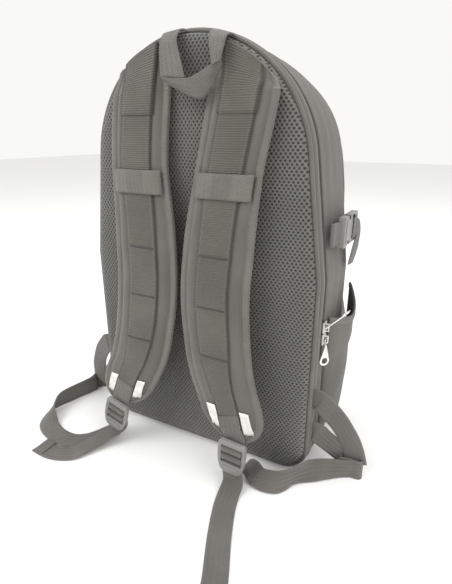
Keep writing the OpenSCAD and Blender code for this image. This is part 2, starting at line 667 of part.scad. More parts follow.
module adjuster(side) color([0.17, 0.17, 0.17]) mirrored(side) {
    route = side > 0
        ? [[apex[0], apex[1] - 1.5, 13.2, 0, 0, 1], [apex[0] - 15, apex[1] - 10, 13.2, 0, 0.05, 1],
           [apex[0] - 32, apex[1] - 20, 13.5, 0, 0.4, 0.9], [side_x + 5, seam_y - 12, 13, 0.2, 0.7, 0.7],
           [side_x - 6, seam_y - 27, 14, 0.3, 0.5, 0.8], [side_x - 15, seam_y - 40, 13.5, 0.1, 0.4, 0.9],
           [lock_x + 42, seam_y - 48, 13, 0, 0.5, 0.85], [lock_x + 26, seam_y - 50, 13, 0.1, 0.5, 0.8],
           [lock_x + 12, seam_y - 45, 17, 0.6, 0.42, 0.6]]
        : [[apex[0] + 2, apex[1] - 3, 13.2, 0, 0, 1], [side_x + 64, seam_y - 22, 13.2, 0, 0, 1],
           [side_x + 68, seam_y - 48, 13.3, -0.2, 0.1, 1], [side_x + 62, seam_y - 72, 9, -0.6, 0.3, 0.6],
           [side_x + 44, seam_y - 88, 4, -0.3, 1, 0.15], [side_x + 22, seam_y - 95, 1.8, -0.1, 1, 0],
           [side_x - 1, seam_y - 95, 1.4, 0.2, 1, 0], [lock_x + 47, seam_y - 84, 1.6, 0.7, 0.7, 0],
           [lock_x + 32, seam_y - 69, 5.4, 0.8, 0.6, 0], [lock_x + 21, seam_y - 60, 13, 0.9, 0.4, -0.2]];
    webbing(concat(route,
        [station(side, 10.4, -lock_h), station(side, 9.2, -lock_h + 12), station(side, 5.6, bar_2 - 0.6)]),
        webbing_w, webbing_t, 4);
}

// ---- drawing --------------------------------------------------------------

lower_shell();
rear_rim();
back_wall();
stiffener_sheet();
back_foam();
back_mesh();
back_piping();
base_board();
fold_gusset();
main_zip_rear();
strap_root(1);  // strap_root_r
strap_root(-1);  // strap_root_l
side_pocket(1);  // side_pocket_r
side_pocket(-1);  // side_pocket_l
pocket_elastic(1);  // pocket_elastic_r
pocket_elastic(-1);  // pocket_elastic_l
corner_yoke(1);  // corner_yoke_r
corner_yoke(-1);  // corner_yoke_l
adjuster(1);  // adjuster_r
adjuster(-1);  // adjuster_l
main_slider_a();
main_pull_a();
main_slider_b();
main_pull_b();
grab_handle();
strap_foam(1);  // strap_foam_r
strap_band(1);  // strap_band_r
strap_crossbar(1);  // strap_crossbar_r
strap_reflectors(1);  // strap_reflectors_r
lock_loop(1);  // lock_loop_r
ladder_lock(1);  // ladder_lock_r
tail(1);  // tail_r
strap_foam(-1);  // strap_foam_l
strap_band(-1);  // strap_band_l
strap_crossbar(-1);  // strap_crossbar_l
strap_reflectors(-1);  // strap_reflectors_l
lock_loop(-1);  // lock_loop_l
ladder_lock(-1);  // ladder_lock_l
tail(-1);  // tail_l
upper_shell();
main_zip_front();
front_pocket();
front_zip_body();
pocket_lid();
front_zip_lid();
front_slider();
front_pull();
side_strap(1);  // side_strap_r
side_strap(-1);  // side_strap_l
side_anchor(1);  // side_anchor_r
side_anchor(-1);  // side_anchor_l
buckle_socket(1);  // buckle_socket_r
buckle_socket(-1);  // buckle_socket_l
buckle_plug(1);  // buckle_plug_r
buckle_plug(-1);  // buckle_plug_l
side_tail(1);  // side_tail_r
side_tail(-1);  // side_tail_l
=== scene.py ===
from math import acos, atan2, cos, pi, radians, sin, sqrt
import bpy
from mathutils import Matrix, Vector, noise


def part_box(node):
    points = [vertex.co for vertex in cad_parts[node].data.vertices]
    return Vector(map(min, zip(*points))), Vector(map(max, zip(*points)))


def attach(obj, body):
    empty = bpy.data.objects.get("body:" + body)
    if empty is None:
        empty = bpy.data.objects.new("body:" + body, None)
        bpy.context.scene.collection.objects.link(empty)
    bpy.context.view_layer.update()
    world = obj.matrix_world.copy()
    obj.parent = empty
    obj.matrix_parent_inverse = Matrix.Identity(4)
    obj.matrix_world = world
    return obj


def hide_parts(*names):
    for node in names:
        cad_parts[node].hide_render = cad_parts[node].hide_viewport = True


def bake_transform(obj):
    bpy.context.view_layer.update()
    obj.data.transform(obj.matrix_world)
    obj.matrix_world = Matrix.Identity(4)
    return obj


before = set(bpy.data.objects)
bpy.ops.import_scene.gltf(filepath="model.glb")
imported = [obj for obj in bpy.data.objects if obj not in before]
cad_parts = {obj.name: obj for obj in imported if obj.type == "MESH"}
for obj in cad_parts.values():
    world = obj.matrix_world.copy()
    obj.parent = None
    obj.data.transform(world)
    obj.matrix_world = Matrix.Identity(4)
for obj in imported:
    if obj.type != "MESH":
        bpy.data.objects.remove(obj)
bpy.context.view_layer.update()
print("frame loaded")

# the bag's own sizes, in metres, read from the frame
shellLow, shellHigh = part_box("lower_shell")
rimLow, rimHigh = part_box("rear_rim")
bag = {
    "halfWidth": shellHigh.x,
    "height": rimHigh.z,
    "seamY": shellLow.y,
    "noseY": shellHigh.y,
    "frontY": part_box("upper_shell")[1].y,
    "zipRearY": rimHigh.y,
    "zipFrontY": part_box("upper_shell")[0].y,
    "zipEndZ": rimLow.z,
    "archRadius": 0.134,
    "shoulderZ": 0.24,
    "cornerRadius": 0.035,
}
archZ = bag["height"] - bag["archRadius"]


camera = {"place": (0.265, -0.504, 0.388), "looks": (-0.4442, 0.8284, -0.3412), "roll": 0.05, "lens": 27.12}

def addCamera():
    bpy.ops.object.camera_add(location=camera["place"])
    eye = bpy.context.object
    eye.name = "bagCamera"
    turn = Vector(camera["looks"]).to_track_quat("-Z", "Y").to_matrix().to_4x4()
    roll = Matrix.Rotation(radians(camera["roll"]), 4, "Z")
    eye.matrix_world = Matrix.Translation(camera["place"]) @ turn @ roll
    eye.data.sensor_fit = "AUTO"
    eye.data.sensor_width = 36
    eye.data.lens = camera["lens"]
    eye.data.clip_start = 0.01
    bpy.context.scene.camera = eye


# small helpers for shapes and meshes

def mix(a, b, t):
    return a + (b - a) * t

def ease(low, high, value):
    t = min(max((value - low) / (high - low), 0.0), 1.0)
    return t * t * (3 - 2 * t)

def between(rows, i, t):
    # a smooth step from row i to the next, the same rule as the webbing's own route
    last = len(rows) - 1
    four = zip(rows[max(i - 1, 0)], rows[i], rows[i + 1], rows[min(i + 2, last)])
    return [0.5 * (2 * q + (r - p) * t + (2 * p - 5 * q + 4 * r - s) * t * t
                   + (3 * q - p - 3 * r + s) * t ** 3) for p, q, r, s in four]

def curveThrough(values, steps):
    result = [between(values, i, k / steps) for i in range(len(values) - 1) for k in range(steps)]
    return result + [list(values[-1])]

def rowAt(table, key):
    # the table's row at a height, joined smoothly between its rows
    if key <= table[0][0]:
        return table[0]
    for i in range(len(table) - 1):
        if key <= table[i + 1][0]:
            return between(table, i, (key - table[i][0]) / (table[i + 1][0] - table[i][0]))
    return table[-1]

def ripple(x, y, z, seed):
    return noise.noise(Vector((x, y, z + seed * 7.3)))

def use(piece):
    bpy.ops.object.select_all(action="DESELECT")
    piece.select_set(True)
    bpy.context.view_layer.objects.active = piece

def editAll(piece, **steps):
    # runs mesh operators, by name, on the whole piece
    use(piece)
    bpy.ops.object.mode_set(mode="EDIT")
    bpy.ops.mesh.select_all(action="SELECT")
    for operator, settings in steps.items():
        getattr(bpy.ops.mesh, operator)(**settings)
    bpy.ops.object.mode_set(mode="OBJECT")

def layOut(name, rows, across=None, closed=False, capped=False, flip=False):
    # a grid laid through rows of points; its map is in metres, across and along
    bpy.ops.object.select_all(action="DESELECT")
    wide, tall = len(rows[0]), len(rows)
    bpy.ops.mesh.primitive_grid_add(x_subdivisions=wide - 1, y_subdivisions=tall - 1, size=1)
    piece = bpy.context.object
    piece.name = piece.data.name = name
    mesh = piece.data
    flat = [(round(v.co.y, 5), round(v.co.x, 5)) for v in mesh.vertices]
    place = {}
    for spot, index in enumerate(sorted(range(len(flat)), key=lambda i: flat[i])):
        place[index] = (spot // wide, spot % wide)
        mesh.vertices[index].co = rows[spot // wide][spot % wide]
    middle, half = wide // 2, tall // 2
    along = [0.0]
    for i in range(1, tall):
        along.append(along[-1] + (Vector(rows[i][middle]) - Vector(rows[i - 1][middle])).length)
    if across is None:
        across = [0.0]
        for j in range(1, wide):
            across.append(across[-1] + (Vector(rows[half][j]) - Vector(rows[half][j - 1])).length)
    layer = mesh.uv_layers[0].data
    for loop in mesh.loops:
        i, j = place[loop.vertex_index]
        layer[loop.index].uv = (across[j], along[i])
    steps = {}
    if closed:
        steps["remove_doubles"] = {"threshold": 0.00002}
    if capped:
        steps["fill_holes"] = {"sides": 0}
    if closed or capped:
        steps["normals_make_consistent"] = {"inside": False}
    if flip:
        steps["flip_normals"] = {}
    editAll(piece, **steps)
    bpy.ops.object.shade_smooth()
    return piece

def thicken(piece, thickness, offset=-1.0):
    wall = piece.modifiers.new("wall", "SOLIDIFY")
    wall.thickness = thickness
    wall.offset = offset
    wall.use_even_offset = True
    use(piece)
    bpy.ops.object.modifier_apply(modifier="wall")

def finishPiece(piece, finish, slotName, body=None, *nodes):
    piece.data.materials.clear()
    for part in (finish if isinstance(finish, (list, tuple)) else [finish]):
        piece.data.materials.append(part)
    if body:
        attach(piece, body)
    if nodes:
        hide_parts(*nodes)
    return piece

def cutBy(piece, point, normal, keepSide):
    # slices a piece with a plane; keepSide "outer" drops what is below, "both" only adds the edge line
    editAll(piece, bisect={"plane_co": point, "plane_no": normal, "clear_inner": keepSide == "outer"})

def dropFaces(piece, unwanted):
    use(piece)
    bpy.ops.object.mode_set(mode="EDIT")
    bpy.ops.mesh.select_mode(type="FACE")
    bpy.ops.mesh.select_all(action="DESELECT")
    bpy.ops.object.mode_set(mode="OBJECT")
    for face in piece.data.polygons:
        face.select = unwanted(face.center)
    bpy.ops.object.mode_set(mode="EDIT")
    bpy.ops.mesh.delete(type="FACE")
    bpy.ops.mesh.select_mode(type="VERT")
    bpy.ops.object.mode_set(mode="OBJECT")

def detailOf(nodeName, newName, bevel):
    # a copy of a moulded part with its edges broken
    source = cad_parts[nodeName]
    bpy.ops.object.select_all(action="DESELECT")
    copy = source.copy()
    copy.data = source.data.copy()
    copy.name = copy.data.name = newName
    copy.parent = None
    for key in list(copy.keys()):
        del copy[key]
    bpy.context.scene.collection.objects.link(copy)
    editAll(copy, remove_doubles={"threshold": 0.000005}, dissolve_limited={"angle_limit": radians(2)})
    edge = copy.modifiers.new("edge", "BEVEL")
    edge.width = bevel
    edge.segments = 3
    edge.limit_method = "ANGLE"
    edge.angle_limit = radians(32)
    bpy.ops.object.modifier_apply(modifier="edge")
    bpy.ops.object.shade_smooth_by_angle(angle=radians(40))
    return copy


class surface:
    # short way to write a material's node tree
    def __init__(self, name, color, roughness, metallic=0.0, sheen=0.0, specular=0.35):
        self.material = bpy.data.materials.new(name)
        self.material.use_nodes = True
        self.tree = self.material.node_tree
        self.shader = self.tree.nodes["Principled BSDF"]
        plain = {"Base Color": (*color, 1), "Roughness": roughness, "Metallic": metallic,
                 "Specular IOR Level": specular, "Sheen Weight": sheen, "Sheen Roughness": 0.5}
        for key, value in plain.items():
            self.shader.inputs[key].default_value = value

    def add(self, kind, values=None, **settings):
        node = self.tree.nodes.new(kind)
        for key, value in settings.items():
            setattr(node, key, value)
        for key, value in (values or {}).items():
            self.put(node.inputs[key], value)
        return node

    def put(self, socket, value):
        # a link where the value comes from a node, a plain number where it doesn't
        if isinstance(value, bpy.types.NodeSocket):
            self.tree.links.new(value, socket)
        else:
            socket.default_value = value

    def calc(self, operation, a, b=0.0, c=0.0):
        return self.add("ShaderNodeMath", {0: a, 1: b, 2: c}, operation=operation).outputs[0]

    def wave(self, value, pitch):
        return self.calc("SINE", self.calc("MULTIPLY", value, 2 * pi / pitch))

    def split(self, source):
        return self.add("ShaderNodeSeparateXYZ", {0: source}).outputs[:]

    def place(self):
        return self.add("ShaderNodeTexCoord").outputs["Object"]

    def map(self):
        return self.add("ShaderNodeUVMap", uv_map="UVMap").outputs["UV"]

    def cloud(self, scale, detail=3.0, roughness=0.55):
        values = {"Vector": self.place(), "Scale": scale, "Detail": detail, "Roughness": roughness}
        return self.add("ShaderNodeTexNoise", values).outputs["Fac"]

    def ramp(self, value, low, high, outLow=0.0, outHigh=1.0):
        values = {"Value": value, "From Min": low, "From Max": high, "To Min": outLow, "To Max": outHigh}
        return self.add("ShaderNodeMapRange", values, interpolation_type="SMOOTHSTEP").outputs["Result"]

    def blendColor(self, amount, first, second):
        node = self.add("ShaderNodeMix", data_type="RGBA")
        for key, value in ((0, amount), (6, first), (7, second)):
            self.put(node.inputs[key], (*value, 1) if isinstance(value, tuple) else value)
        return node.outputs[2]

    def mottle(self, cloud, color, dark, light, low=0.3, high=0.75):
        # the colour drifts between a darker and a lighter share of itself
        return self.blendColor(self.ramp(cloud, low, high), darker(color, dark), darker(color, light))

    def color(self, value):
        self.tree.links.new(value, self.shader.inputs["Base Color"])

    def rough(self, value):
        self.tree.links.new(value, self.shader.inputs["Roughness"])

    def bump(self, heights):
        normal = None
        for height, strength, distance in heights:
            values = {"Height": height, "Strength": strength, "Distance": distance}
            if normal is not None:
                values["Normal"] = normal
            normal = self.add("ShaderNodeBump", values).outputs["Normal"]
        self.tree.links.new(normal, self.shader.inputs["Normal"])

    def stitches(self, across, along, where, pitch=0.0034, width=0.00045):
        near = self.calc("ABSOLUTE", self.calc("SUBTRACT", across, where))
        line = self.ramp(near, width * 1.5, width * 0.6)
        step = self.calc("FRACT", self.calc("DIVIDE", along, pitch))
        gap = self.ramp(self.calc("ABSOLUTE", self.calc("SUBTRACT", step, 0.5)), 0.44, 0.34)
        return self.calc("MULTIPLY", line, gap)


colors = {
    "shell": (0.121, 0.116, 0.102),
    "shellDark": (0.085, 0.082, 0.074),
    "strap": (0.104, 0.099, 0.088),
    "webbing": (0.138, 0.131, 0.117),
    "band": (0.109, 0.103, 0.088),
    "meshThread": (0.137, 0.134, 0.121),
    # the next colour is painted shade for the air mesh's holes
    "meshHoleShade": (0.016, 0.018, 0.018),
    "binding": (0.128, 0.123, 0.108),
    "thread": (0.055, 0.054, 0.052),
    "tape": (0.06, 0.059, 0.057),
    "plastic": (0.2, 0.197, 0.19),
    "metal": (0.86, 0.85, 0.82),
    "reflector": (0.74, 0.74, 0.7),
    "foam": (0.25, 0.25, 0.25),
    "board": (0.5, 0.5, 0.47),
}

def darker(color, share):
    return tuple(c * share for c in color)

def airMeshFinish():
    color = colors["meshThread"]
    n = surface("airMesh", color, 0.85, sheen=0.25)
    x, z = n.split(n.place())[::2]
    drift = n.calc("MULTIPLY", n.calc("SUBTRACT", n.cloud(14, 1), 0.5), 0.004)
    u = n.calc("DIVIDE", n.calc("ADD", x, drift), 0.0047)
    v = n.calc("DIVIDE", n.calc("ADD", z, drift), 0.00325)
    shift = n.calc("MULTIPLY", n.calc("MODULO", n.calc("ABSOLUTE", n.calc("FLOOR", v)), 2.0), 0.5)
    cellU = n.calc("SUBTRACT", n.calc("FRACT", n.calc("ADD", u, shift)), 0.5)
    cellV = n.calc("SUBTRACT", n.calc("FRACT", v), 0.5)
    far = n.calc("SQRT", n.calc("ADD", n.calc("POWER", n.calc("ABSOLUTE", cellU), 2.0),
                                n.calc("POWER", n.calc("MULTIPLY", n.calc("ABSOLUTE", cellV), 0.7), 2.0)))
    hole = n.ramp(far, 0.37, 0.17)
    knit = n.cloud(1500, 2)
    thread = n.mottle(n.cloud(9, 3), color, 0.88, 1.12, 0.35)
    thread = n.blendColor(n.ramp(knit, 0.3, 0.8, 0.0, 0.5), thread, darker(color, 0.6))
    # the holes get a near-black colour: painted shade inside the mesh's openings, over the darker layer
    # beneath
    n.color(n.blendColor(n.calc("MULTIPLY", hole, 0.94), thread, colors["meshHoleShade"]))
    solid = n.calc("SUBTRACT", 1.0, hole)
    n.bump([(solid, 0.8, 0.0014), (knit, 0.25, 0.0004)])
    return n.material

def wovenFinish(name, color, pitch=0.0011, crease=0.0016, sheen=0.15, roughness=0.72):
    n = surface(name, color, roughness, sheen=sheen, specular=0.3)
    u, v = n.split(n.map())[:2]
    warp = n.wave(u, pitch)
    weft = n.wave(v, pitch)
    weave = n.calc("MULTIPLY", warp, weft)
    slub = n.cloud(420, 3)
    cloud = n.cloud(11, 4)
    base = n.mottle(cloud, color, 0.86, 1.1)
    base = n.blendColor(n.ramp(weave, -1.0, 1.0, 0.0, 0.3), base, darker(color, 0.62))
    n.color(n.blendColor(n.ramp(slub, 0.62, 0.8, 0.0, 0.35), base, darker(color, 1.7)))
    n.rough(n.ramp(cloud, 0.2, 0.8, roughness - 0.08, roughness + 0.1))
    n.bump([(n.cloud(23, 3), 0.5, crease), (weave, 0.5, 0.0003), (slub, 0.2, 0.0003)])
    return n.material

def webbingFinish(name, color, halfWidth=0.0125, rib=0.0017):
    n = surface(name, color, 0.62, sheen=0.2, specular=0.35)
    u, v = n.split(n.map())[:2]
    column = n.calc("PINGPONG", n.calc("ADD", u, 1.0), 0.0026)
    lean = n.calc("ADD", v, n.calc("MULTIPLY", column, 0.55))
    ribs = n.wave(lean, rib)
    lanes = n.wave(u, 0.0052)
    edge = n.ramp(n.calc("ABSOLUTE", u), halfWidth - 0.0022, halfWidth - 0.0004)
    base = n.mottle(n.cloud(30, 3), color, 0.88, 1.1)
    base = n.blendColor(n.ramp(ribs, -1.0, 0.9, 0.45, 0.0), base, darker(color, 0.45))
    base = n.blendColor(n.ramp(lanes, 0.2, 1.0, 0.0, 0.07), base, darker(color, 0.5))
    n.color(n.blendColor(n.calc("MULTIPLY", edge, 0.35), base, darker(color, 1.35)))
    n.bump([(ribs, 0.7, 0.0005), (lanes, 0.15, 0.0003), (n.cloud(600, 2), 0.2, 0.0003)])
    return n.material

def strapFinish():
    # smooth knit over foam
    color = colors["strap"]
    n = surface("strapKnit", color, 0.7, sheen=0.3, specular=0.3)
    u, v = n.split(n.map())[:2]
    knit = n.calc("MULTIPLY", n.wave(u, 0.0013), n.wave(n.calc("ADD", v, n.calc("MULTIPLY", u, 0.5)), 0.0011))
    base = n.mottle(n.cloud(16, 4), color, 0.85, 1.12)
    n.color(n.blendColor(n.ramp(knit, -1.0, 1.0, 0.0, 0.22), base, darker(color, 0.6)))
    n.bump([(n.cloud(38, 3), 0.4, 0.0012), (knit, 0.4, 0.0003)])
    return n.material

def bandFinish(halfWidth):
    # fine cross ribs, with a seam and a line of stitches along each edge; the seam is darkened as painted
    # shade of the band's raised edge
    color = colors["band"]
    n = surface("ribbedBand", color, 0.68, sheen=0.2, specular=0.3)
    u, v = n.split(n.map())[:2]
    wobble = n.calc("MULTIPLY", n.cloud(90, 2), 0.0008)
    ribs = n.wave(n.calc("ADD", v, wobble), 0.0023)
    cords = n.wave(u, 0.0015)
    side = n.calc("ABSOLUTE", u)
    seam = n.ramp(side, halfWidth - 0.003, halfWidth - 0.0006)
    sewn = n.stitches(side, v, halfWidth - 0.0036)
    base = n.mottle(n.cloud(20, 4), color, 0.86, 1.14)
    base = n.blendColor(n.ramp(ribs, -1.0, 0.8, 0.42, 0.0), base, darker(color, 0.42))
    # painted shade: a dark line along each edge of the band, where its raised edge stands over the strap
    base = n.blendColor(n.calc("MULTIPLY", seam, 0.8), base, darker(color, 0.3))
    n.color(n.blendColor(n.calc("MULTIPLY", sewn, 0.6), base, darker(color, 1.25)))
    n.bump([(ribs, 0.75, 0.0006), (cords, 0.3, 0.0003), (sewn, 0.5, 0.0005)])
    return n.material

def bindingFinish(name, color):
    n = surface(name, color, 0.55, sheen=0.2, specular=0.4)
    ribs = n.wave(n.split(n.map())[1], 0.0016)
    base = n.mottle(n.cloud(26, 3), color, 0.86, 1.12)
    n.color(n.blendColor(n.ramp(ribs, -1.0, 0.8, 0.35, 0.0), base, darker(color, 0.5)))
    n.bump([(ribs, 0.5, 0.0004), (n.cloud(70, 3), 0.35, 0.0008)])
    return n.material

def zipFinish():
    # woven tape with the coil's teeth standing out of it
    color = colors["tape"]
    n = surface("zipCoil", color, 0.55, sheen=0.1, specular=0.4)
    u, v = n.split(n.map())[:2]
    teeth = n.wave(u, 0.0018)
    tape = n.wave(v, 0.0009)
    base = n.mottle(n.cloud(40, 3), color, 0.8, 1.3)
    n.color(n.blendColor(n.ramp(teeth, -0.4, 0.6, 0.6, 0.0), base, darker(color, 0.3)))
    n.bump([(teeth, 0.9, 0.0007), (tape, 0.25, 0.0002)])
    return n.material

def metalFinish(name, color, roughness):
    n = surface(name, color, roughness, metallic=1.0, specular=0.5)
    scratch = n.cloud(900, 4, roughness=0.7)
    cloud = n.cloud(120, 3)
    n.color(n.blendColor(n.ramp(cloud, 0.35, 0.75), darker(color, 0.86), color))
    n.rough(n.ramp(scratch, 0.3, 0.75, roughness - 0.06, roughness + 0.16))
    n.bump([(scratch, 0.12, 0.0002), (cloud, 0.1, 0.0003)])
    return n.material

def plasticFinish(color):
    n = surface("mouldedPlastic", color, 0.42, specular=0.5)
    grain = n.cloud(1400, 2)
    scuff = n.ramp(n.cloud(160, 5, roughness=0.7), 0.56, 0.72)
    n.color(n.blendColor(scuff, color, darker(color, 1.55)))
    n.rough(n.ramp(scuff, 0.0, 1.0, 0.38, 0.62))
    n.bump([(grain, 0.35, 0.0003), (scuff, 0.1, 0.0002)])
    return n.material

def reflectorFinish():
    color = colors["reflector"]
    n = surface("reflectiveTape", color, 0.35, metallic=0.25, specular=0.6)
    cells = n.add("ShaderNodeTexVoronoi", {"Vector": n.place(), "Scale": 900.0}).outputs["Distance"]
    cloud = n.cloud(110, 3)
    n.color(n.blendColor(n.ramp(cloud, 0.35, 0.75), darker(color, 0.78), color))
    n.bump([(cells, 0.3, 0.0003), (cloud, 0.3, 0.0006)])
    return n.material

def plainFinish(name, color, roughness, scale, depth):
    n = surface(name, color, roughness)
    cells = n.cloud(scale, 4)
    n.color(n.mottle(cells, color, 0.82, 1.1, 0.35, 0.7))
    n.bump([(cells, 0.5, depth)])
    return n.material

airMesh = airMeshFinish()
shellCloth = wovenFinish("shellCloth", colors["shell"])
rimCloth = wovenFinish("rimCloth", darker(colors["shell"], 1.05), crease=0.0008)
liningCloth = plainFinish("liningCloth", colors["shellDark"], 0.75, 800, 0.0004)
strapKnit = strapFinish()
ribbedBand = bandFinish(0.02)
bindingTape = bindingFinish("bindingTape", colors["binding"])
pipingCloth = bindingFinish("pipingCloth", darker(colors["binding"], 0.95))
elasticTape = bindingFinish("elasticTape", darker(colors["binding"], 0.9))
strapWebbing = webbingFinish("strapWebbing", colors["webbing"])
threadFinish = plainFinish("bartackThread", colors["thread"], 0.7, 900, 0.0004)
zipCoil = zipFinish()
nickel = metalFinish("nickelPull", colors["metal"], 0.28)
sliderNickel = metalFinish("nickelSlider", darker(colors["metal"], 0.85), 0.34)
bucklePlastic = plasticFinish(colors["plastic"])
reflectiveTape = reflectorFinish()
foamFinish = plainFinish("padFoam", colors["foam"], 0.9, 500, 0.0008)
boardFinish = plainFinish("stiffBoard", colors["board"], 0.6, 60, 0.0004)
print("finishes made")


def halfOutline(inset):
    # from the middle of the base round the right side to the top, 74 points
    half = bag["halfWidth"] - inset
    radius = max(bag["cornerRadius"] - inset, 0.004)
    centre = bag["halfWidth"] - bag["cornerRadius"]
    points = [(centre * i / 10, inset) for i in range(10)]
    for i in range(8):
        a = radians(-90 + 90 * i / 8)
        points.append((half - radius + radius * cos(a), inset + radius + radius * sin(a)))
    low = inset + radius
    points += [(half, mix(low, bag["shoulderZ"], i / 24)) for i in range(24)]
    reach, drop = bag["archRadius"] - inset, bag["shoulderZ"] - archZ
    start = atan2(drop, half) + acos(reach / sqrt(half * half + drop * drop))
    joinX, joinZ = reach * cos(start), archZ + reach * sin(start)
    points += [(mix(half, joinX, i / 6), mix(bag["shoulderZ"], joinZ, i / 6)) for i in range(6)]
    for i in range(27):
        a = mix(start, pi / 2, i / 26)
        points.append((reach * cos(a), archZ + reach * sin(a)))
    return points

def outline(inset):
    right = halfOutline(inset)
    left = [(-x, z) for x, z in reversed(right)]
    return right + left[1:]

centreZ = 0.235

def shrunk(points, share):
    return [(x * share, centreZ + (z - centreZ) * share) for x, z in points]

def topDrop(z, y):
    # the top falls a little towards the front
    return z - 0.012 * ease(0.36, bag["height"], z) * max(y - bag["seamY"], 0) / 0.105


# the pad's rolled edge, each ring's inset and how far it stands out, and the crown inside it
pad = {"edge": [(0.0052, -0.001), (0.005, -0.004), (0.0056, -0.0075), (0.008, -0.0102),
                (0.0125, -0.0116), (0.02, -0.0121), (0.03, -0.0124)], "crown": 0.0022}

def makeBackPad():
    seam = bag["seamY"]
    rows = [[(x, seam + out, z) for x, z in outline(inset)] for inset, out in pad["edge"]]
    inner = outline(pad["edge"][-1][0])
    for share in [0.93, 0.86, 0.78, 0.7, 0.61, 0.52, 0.43, 0.34, 0.25, 0.16, 0.08, 0.02]:
        row = []
        for x, z in shrunk(inner, share):
            swell = pad["crown"] * (1 - share ** 2) + 0.0008 * ripple(x * 14, 0, z * 14, 1)
            row.append((x, seam + pad["edge"][-1][1] - swell, z))
        rows.append(row)
    piece = layOut("backPad", rows, closed=True, capped=True)
    finishPiece(piece, airMesh, "air_mesh", "bag", "back_mesh")

def ringAround(name, profile, finish, slotName, body, node, low=None):
    # profile: rows of (inset, y); a closed band round the bag's outline, or from low up
    rows = [[(x, y, topDrop(z, y)) for x, z in outline(inset)] for inset, y in profile]
    piece = layOut(name, rows, closed=True)
    if low is not None:
        cutBy(piece, (0, 0, low), (0, 0, 1), "outer")
    finishPiece(piece, finish, slotName, body, node)

piping = {"inset": 0.0029, "out": 0.0028, "radius": 0.0026}

def makePiping():
    turns = [2 * pi * k / 12 for k in range(13)]
    profile = [(piping["inset"] - piping["radius"] * cos(a),
                bag["seamY"] - piping["out"] + piping["radius"] * sin(a)) for a in turns]
    ringAround("backPiping", profile, pipingCloth, "piping", "bag", "back_piping")

def makeRearBand():
    seam, end = bag["seamY"], bag["zipRearY"]
    profile = [(0.004, seam - 0.0022), (0.0018, seam - 0.0006), (0.0004, seam + 0.0008),
               (-0.0004, seam + 0.003), (-0.0007, seam + 0.006), (-0.0004, end - 0.0022),
               (0.0003, end - 0.0006), (0.0022, end + 0.0002), (0.0026, end - 0.003), (0.0026, seam + 0.002)]
    ringAround("rearBand", profile, rimCloth, "shell_fabric", "bag", "rear_rim")

def makeMainZip():
    start, end = bag["zipRearY"], bag["zipFrontY"]
    middle = (start + end) / 2
    low = bag["zipEndZ"]
    rear = [(0.0012, start - 0.0008), (0.0002, start + 0.0006), (-0.0001, start + 0.0014),
            (-0.0003, middle - 0.0014), (-0.0006, middle - 0.0008), (-0.0004, middle - 0.0002),
            (0.0012, middle - 0.0002)]
    front = [(0.0012, middle + 0.0002), (-0.0004, middle + 0.0002), (-0.0006, middle + 0.0008),
             (-0.0003, middle + 0.0014), (-0.0001, end - 0.0014), (0.0002, end - 0.0006),
             (0.0012, end + 0.0008)]
    ringAround("mainZipRear", rear, zipCoil, "zip_tape", "bag", "main_zip_rear", low)
    ringAround("mainZipFront", front, zipCoil, "zip_tape", "upper", "main_zip_front", low + 0.001)

fold = {"start": (0, 0, 0.138), "end": (0, 0, 0.2), "depth": 0.0036}

def gussetStart(z):
    return mix(bag["zipRearY"] + 0.0002, bag["zipFrontY"] + 0.0002, ease(0.158, 0.166, z))

def sideFold(x, y, z):
    # soft upright folds where the side fabric slackens
    slack = sin(pi * min(max((y + 0.062) / 0.087, 0), 1)) * ease(0.02, 0.12, z)
    slack *= 1 - 0.6 * ease(0.4, 0.47, z)
    wave = ripple(y * 55, z * 7, x * 3, 2) + 0.5 * ripple(y * 110, z * 12, x * 3, 3)
    return fold["depth"] * slack * wave

def makeMainShell():
    end, plain = bag["frontY"], outline(0.0)
    shares = [0, 0.01, 0.03, 0.07, 0.13, 0.2, 0.28, 0.36, 0.44, 0.52, 0.6, 0.68, 0.76, 0.83, 0.89, 0.94,
              0.975, 1.0]
    rows = []
    for share in shares:
        row = []
        for index, (x0, z0) in enumerate(plain):
            y = mix(gussetStart(z0), end, share)
            inset = -0.0012 * sin(pi * share) + 0.0016 * (1 - ease(0, 0.02, share))
            inset += 0.0045 * ease(0.93, 1.0, share) ** 2
            inset += sideFold(x0, y, z0)
            x, z = outline(max(inset, -0.006))[index] if abs(inset) > 1e-9 else (x0, z0)
            row.append((x, y, max(topDrop(z, y), 0.0002)))
        rows.append(row)
    front = outline(0.01)
    rows.append([(x, end + 0.0005, topDrop(z, end)) for x, z in front])
    for share in [0.93, 0.8, 0.6, 0.4, 0.2, 0.02]:
        rows.append([(x, end + 0.001, topDrop(z, end)) for x, z in shrunk(front, share)])
    piece = layOut("mainShell", rows, closed=True)
    thicken(piece, 0.0012)
    finishPiece(piece, shellCloth, "shell_fabric", None, "upper_shell", "lower_shell", "fold_gusset")
    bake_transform(piece)


pocket = {"inset": 0.014, "swell": 0.006, "rise": 0.062, "round": 0.024, "zipY": 0.048, "lidZ": 0.216}

def pocketInset(z):
    return mix(0.0015, pocket["inset"], ease(0.14, 0.215, z)) - pocket["swell"] * ease(0.27, 0.32, z)

def pocketPoint(x, z, y):
    # the arched top rounds down towards the front
    top = 0.349
    if z <= top:
        return x, y, z
    share = sqrt(max(1 - ((y - bag["frontY"]) / pocket["rise"]) ** 2, 0.05))
    return x, y, top + (z - top) * share * 0.92

def pocketRow(extra, depth):
    # a row round the pocket; its extra inset and its depth are worked out at each point
    row = []
    for index, (x0, z0) in enumerate(outline(0.0)):
        x, z = outline(pocketInset(z0) + extra(x0, z0))[index]
        row.append(pocketPoint(x, z, depth(z0)))
    return row

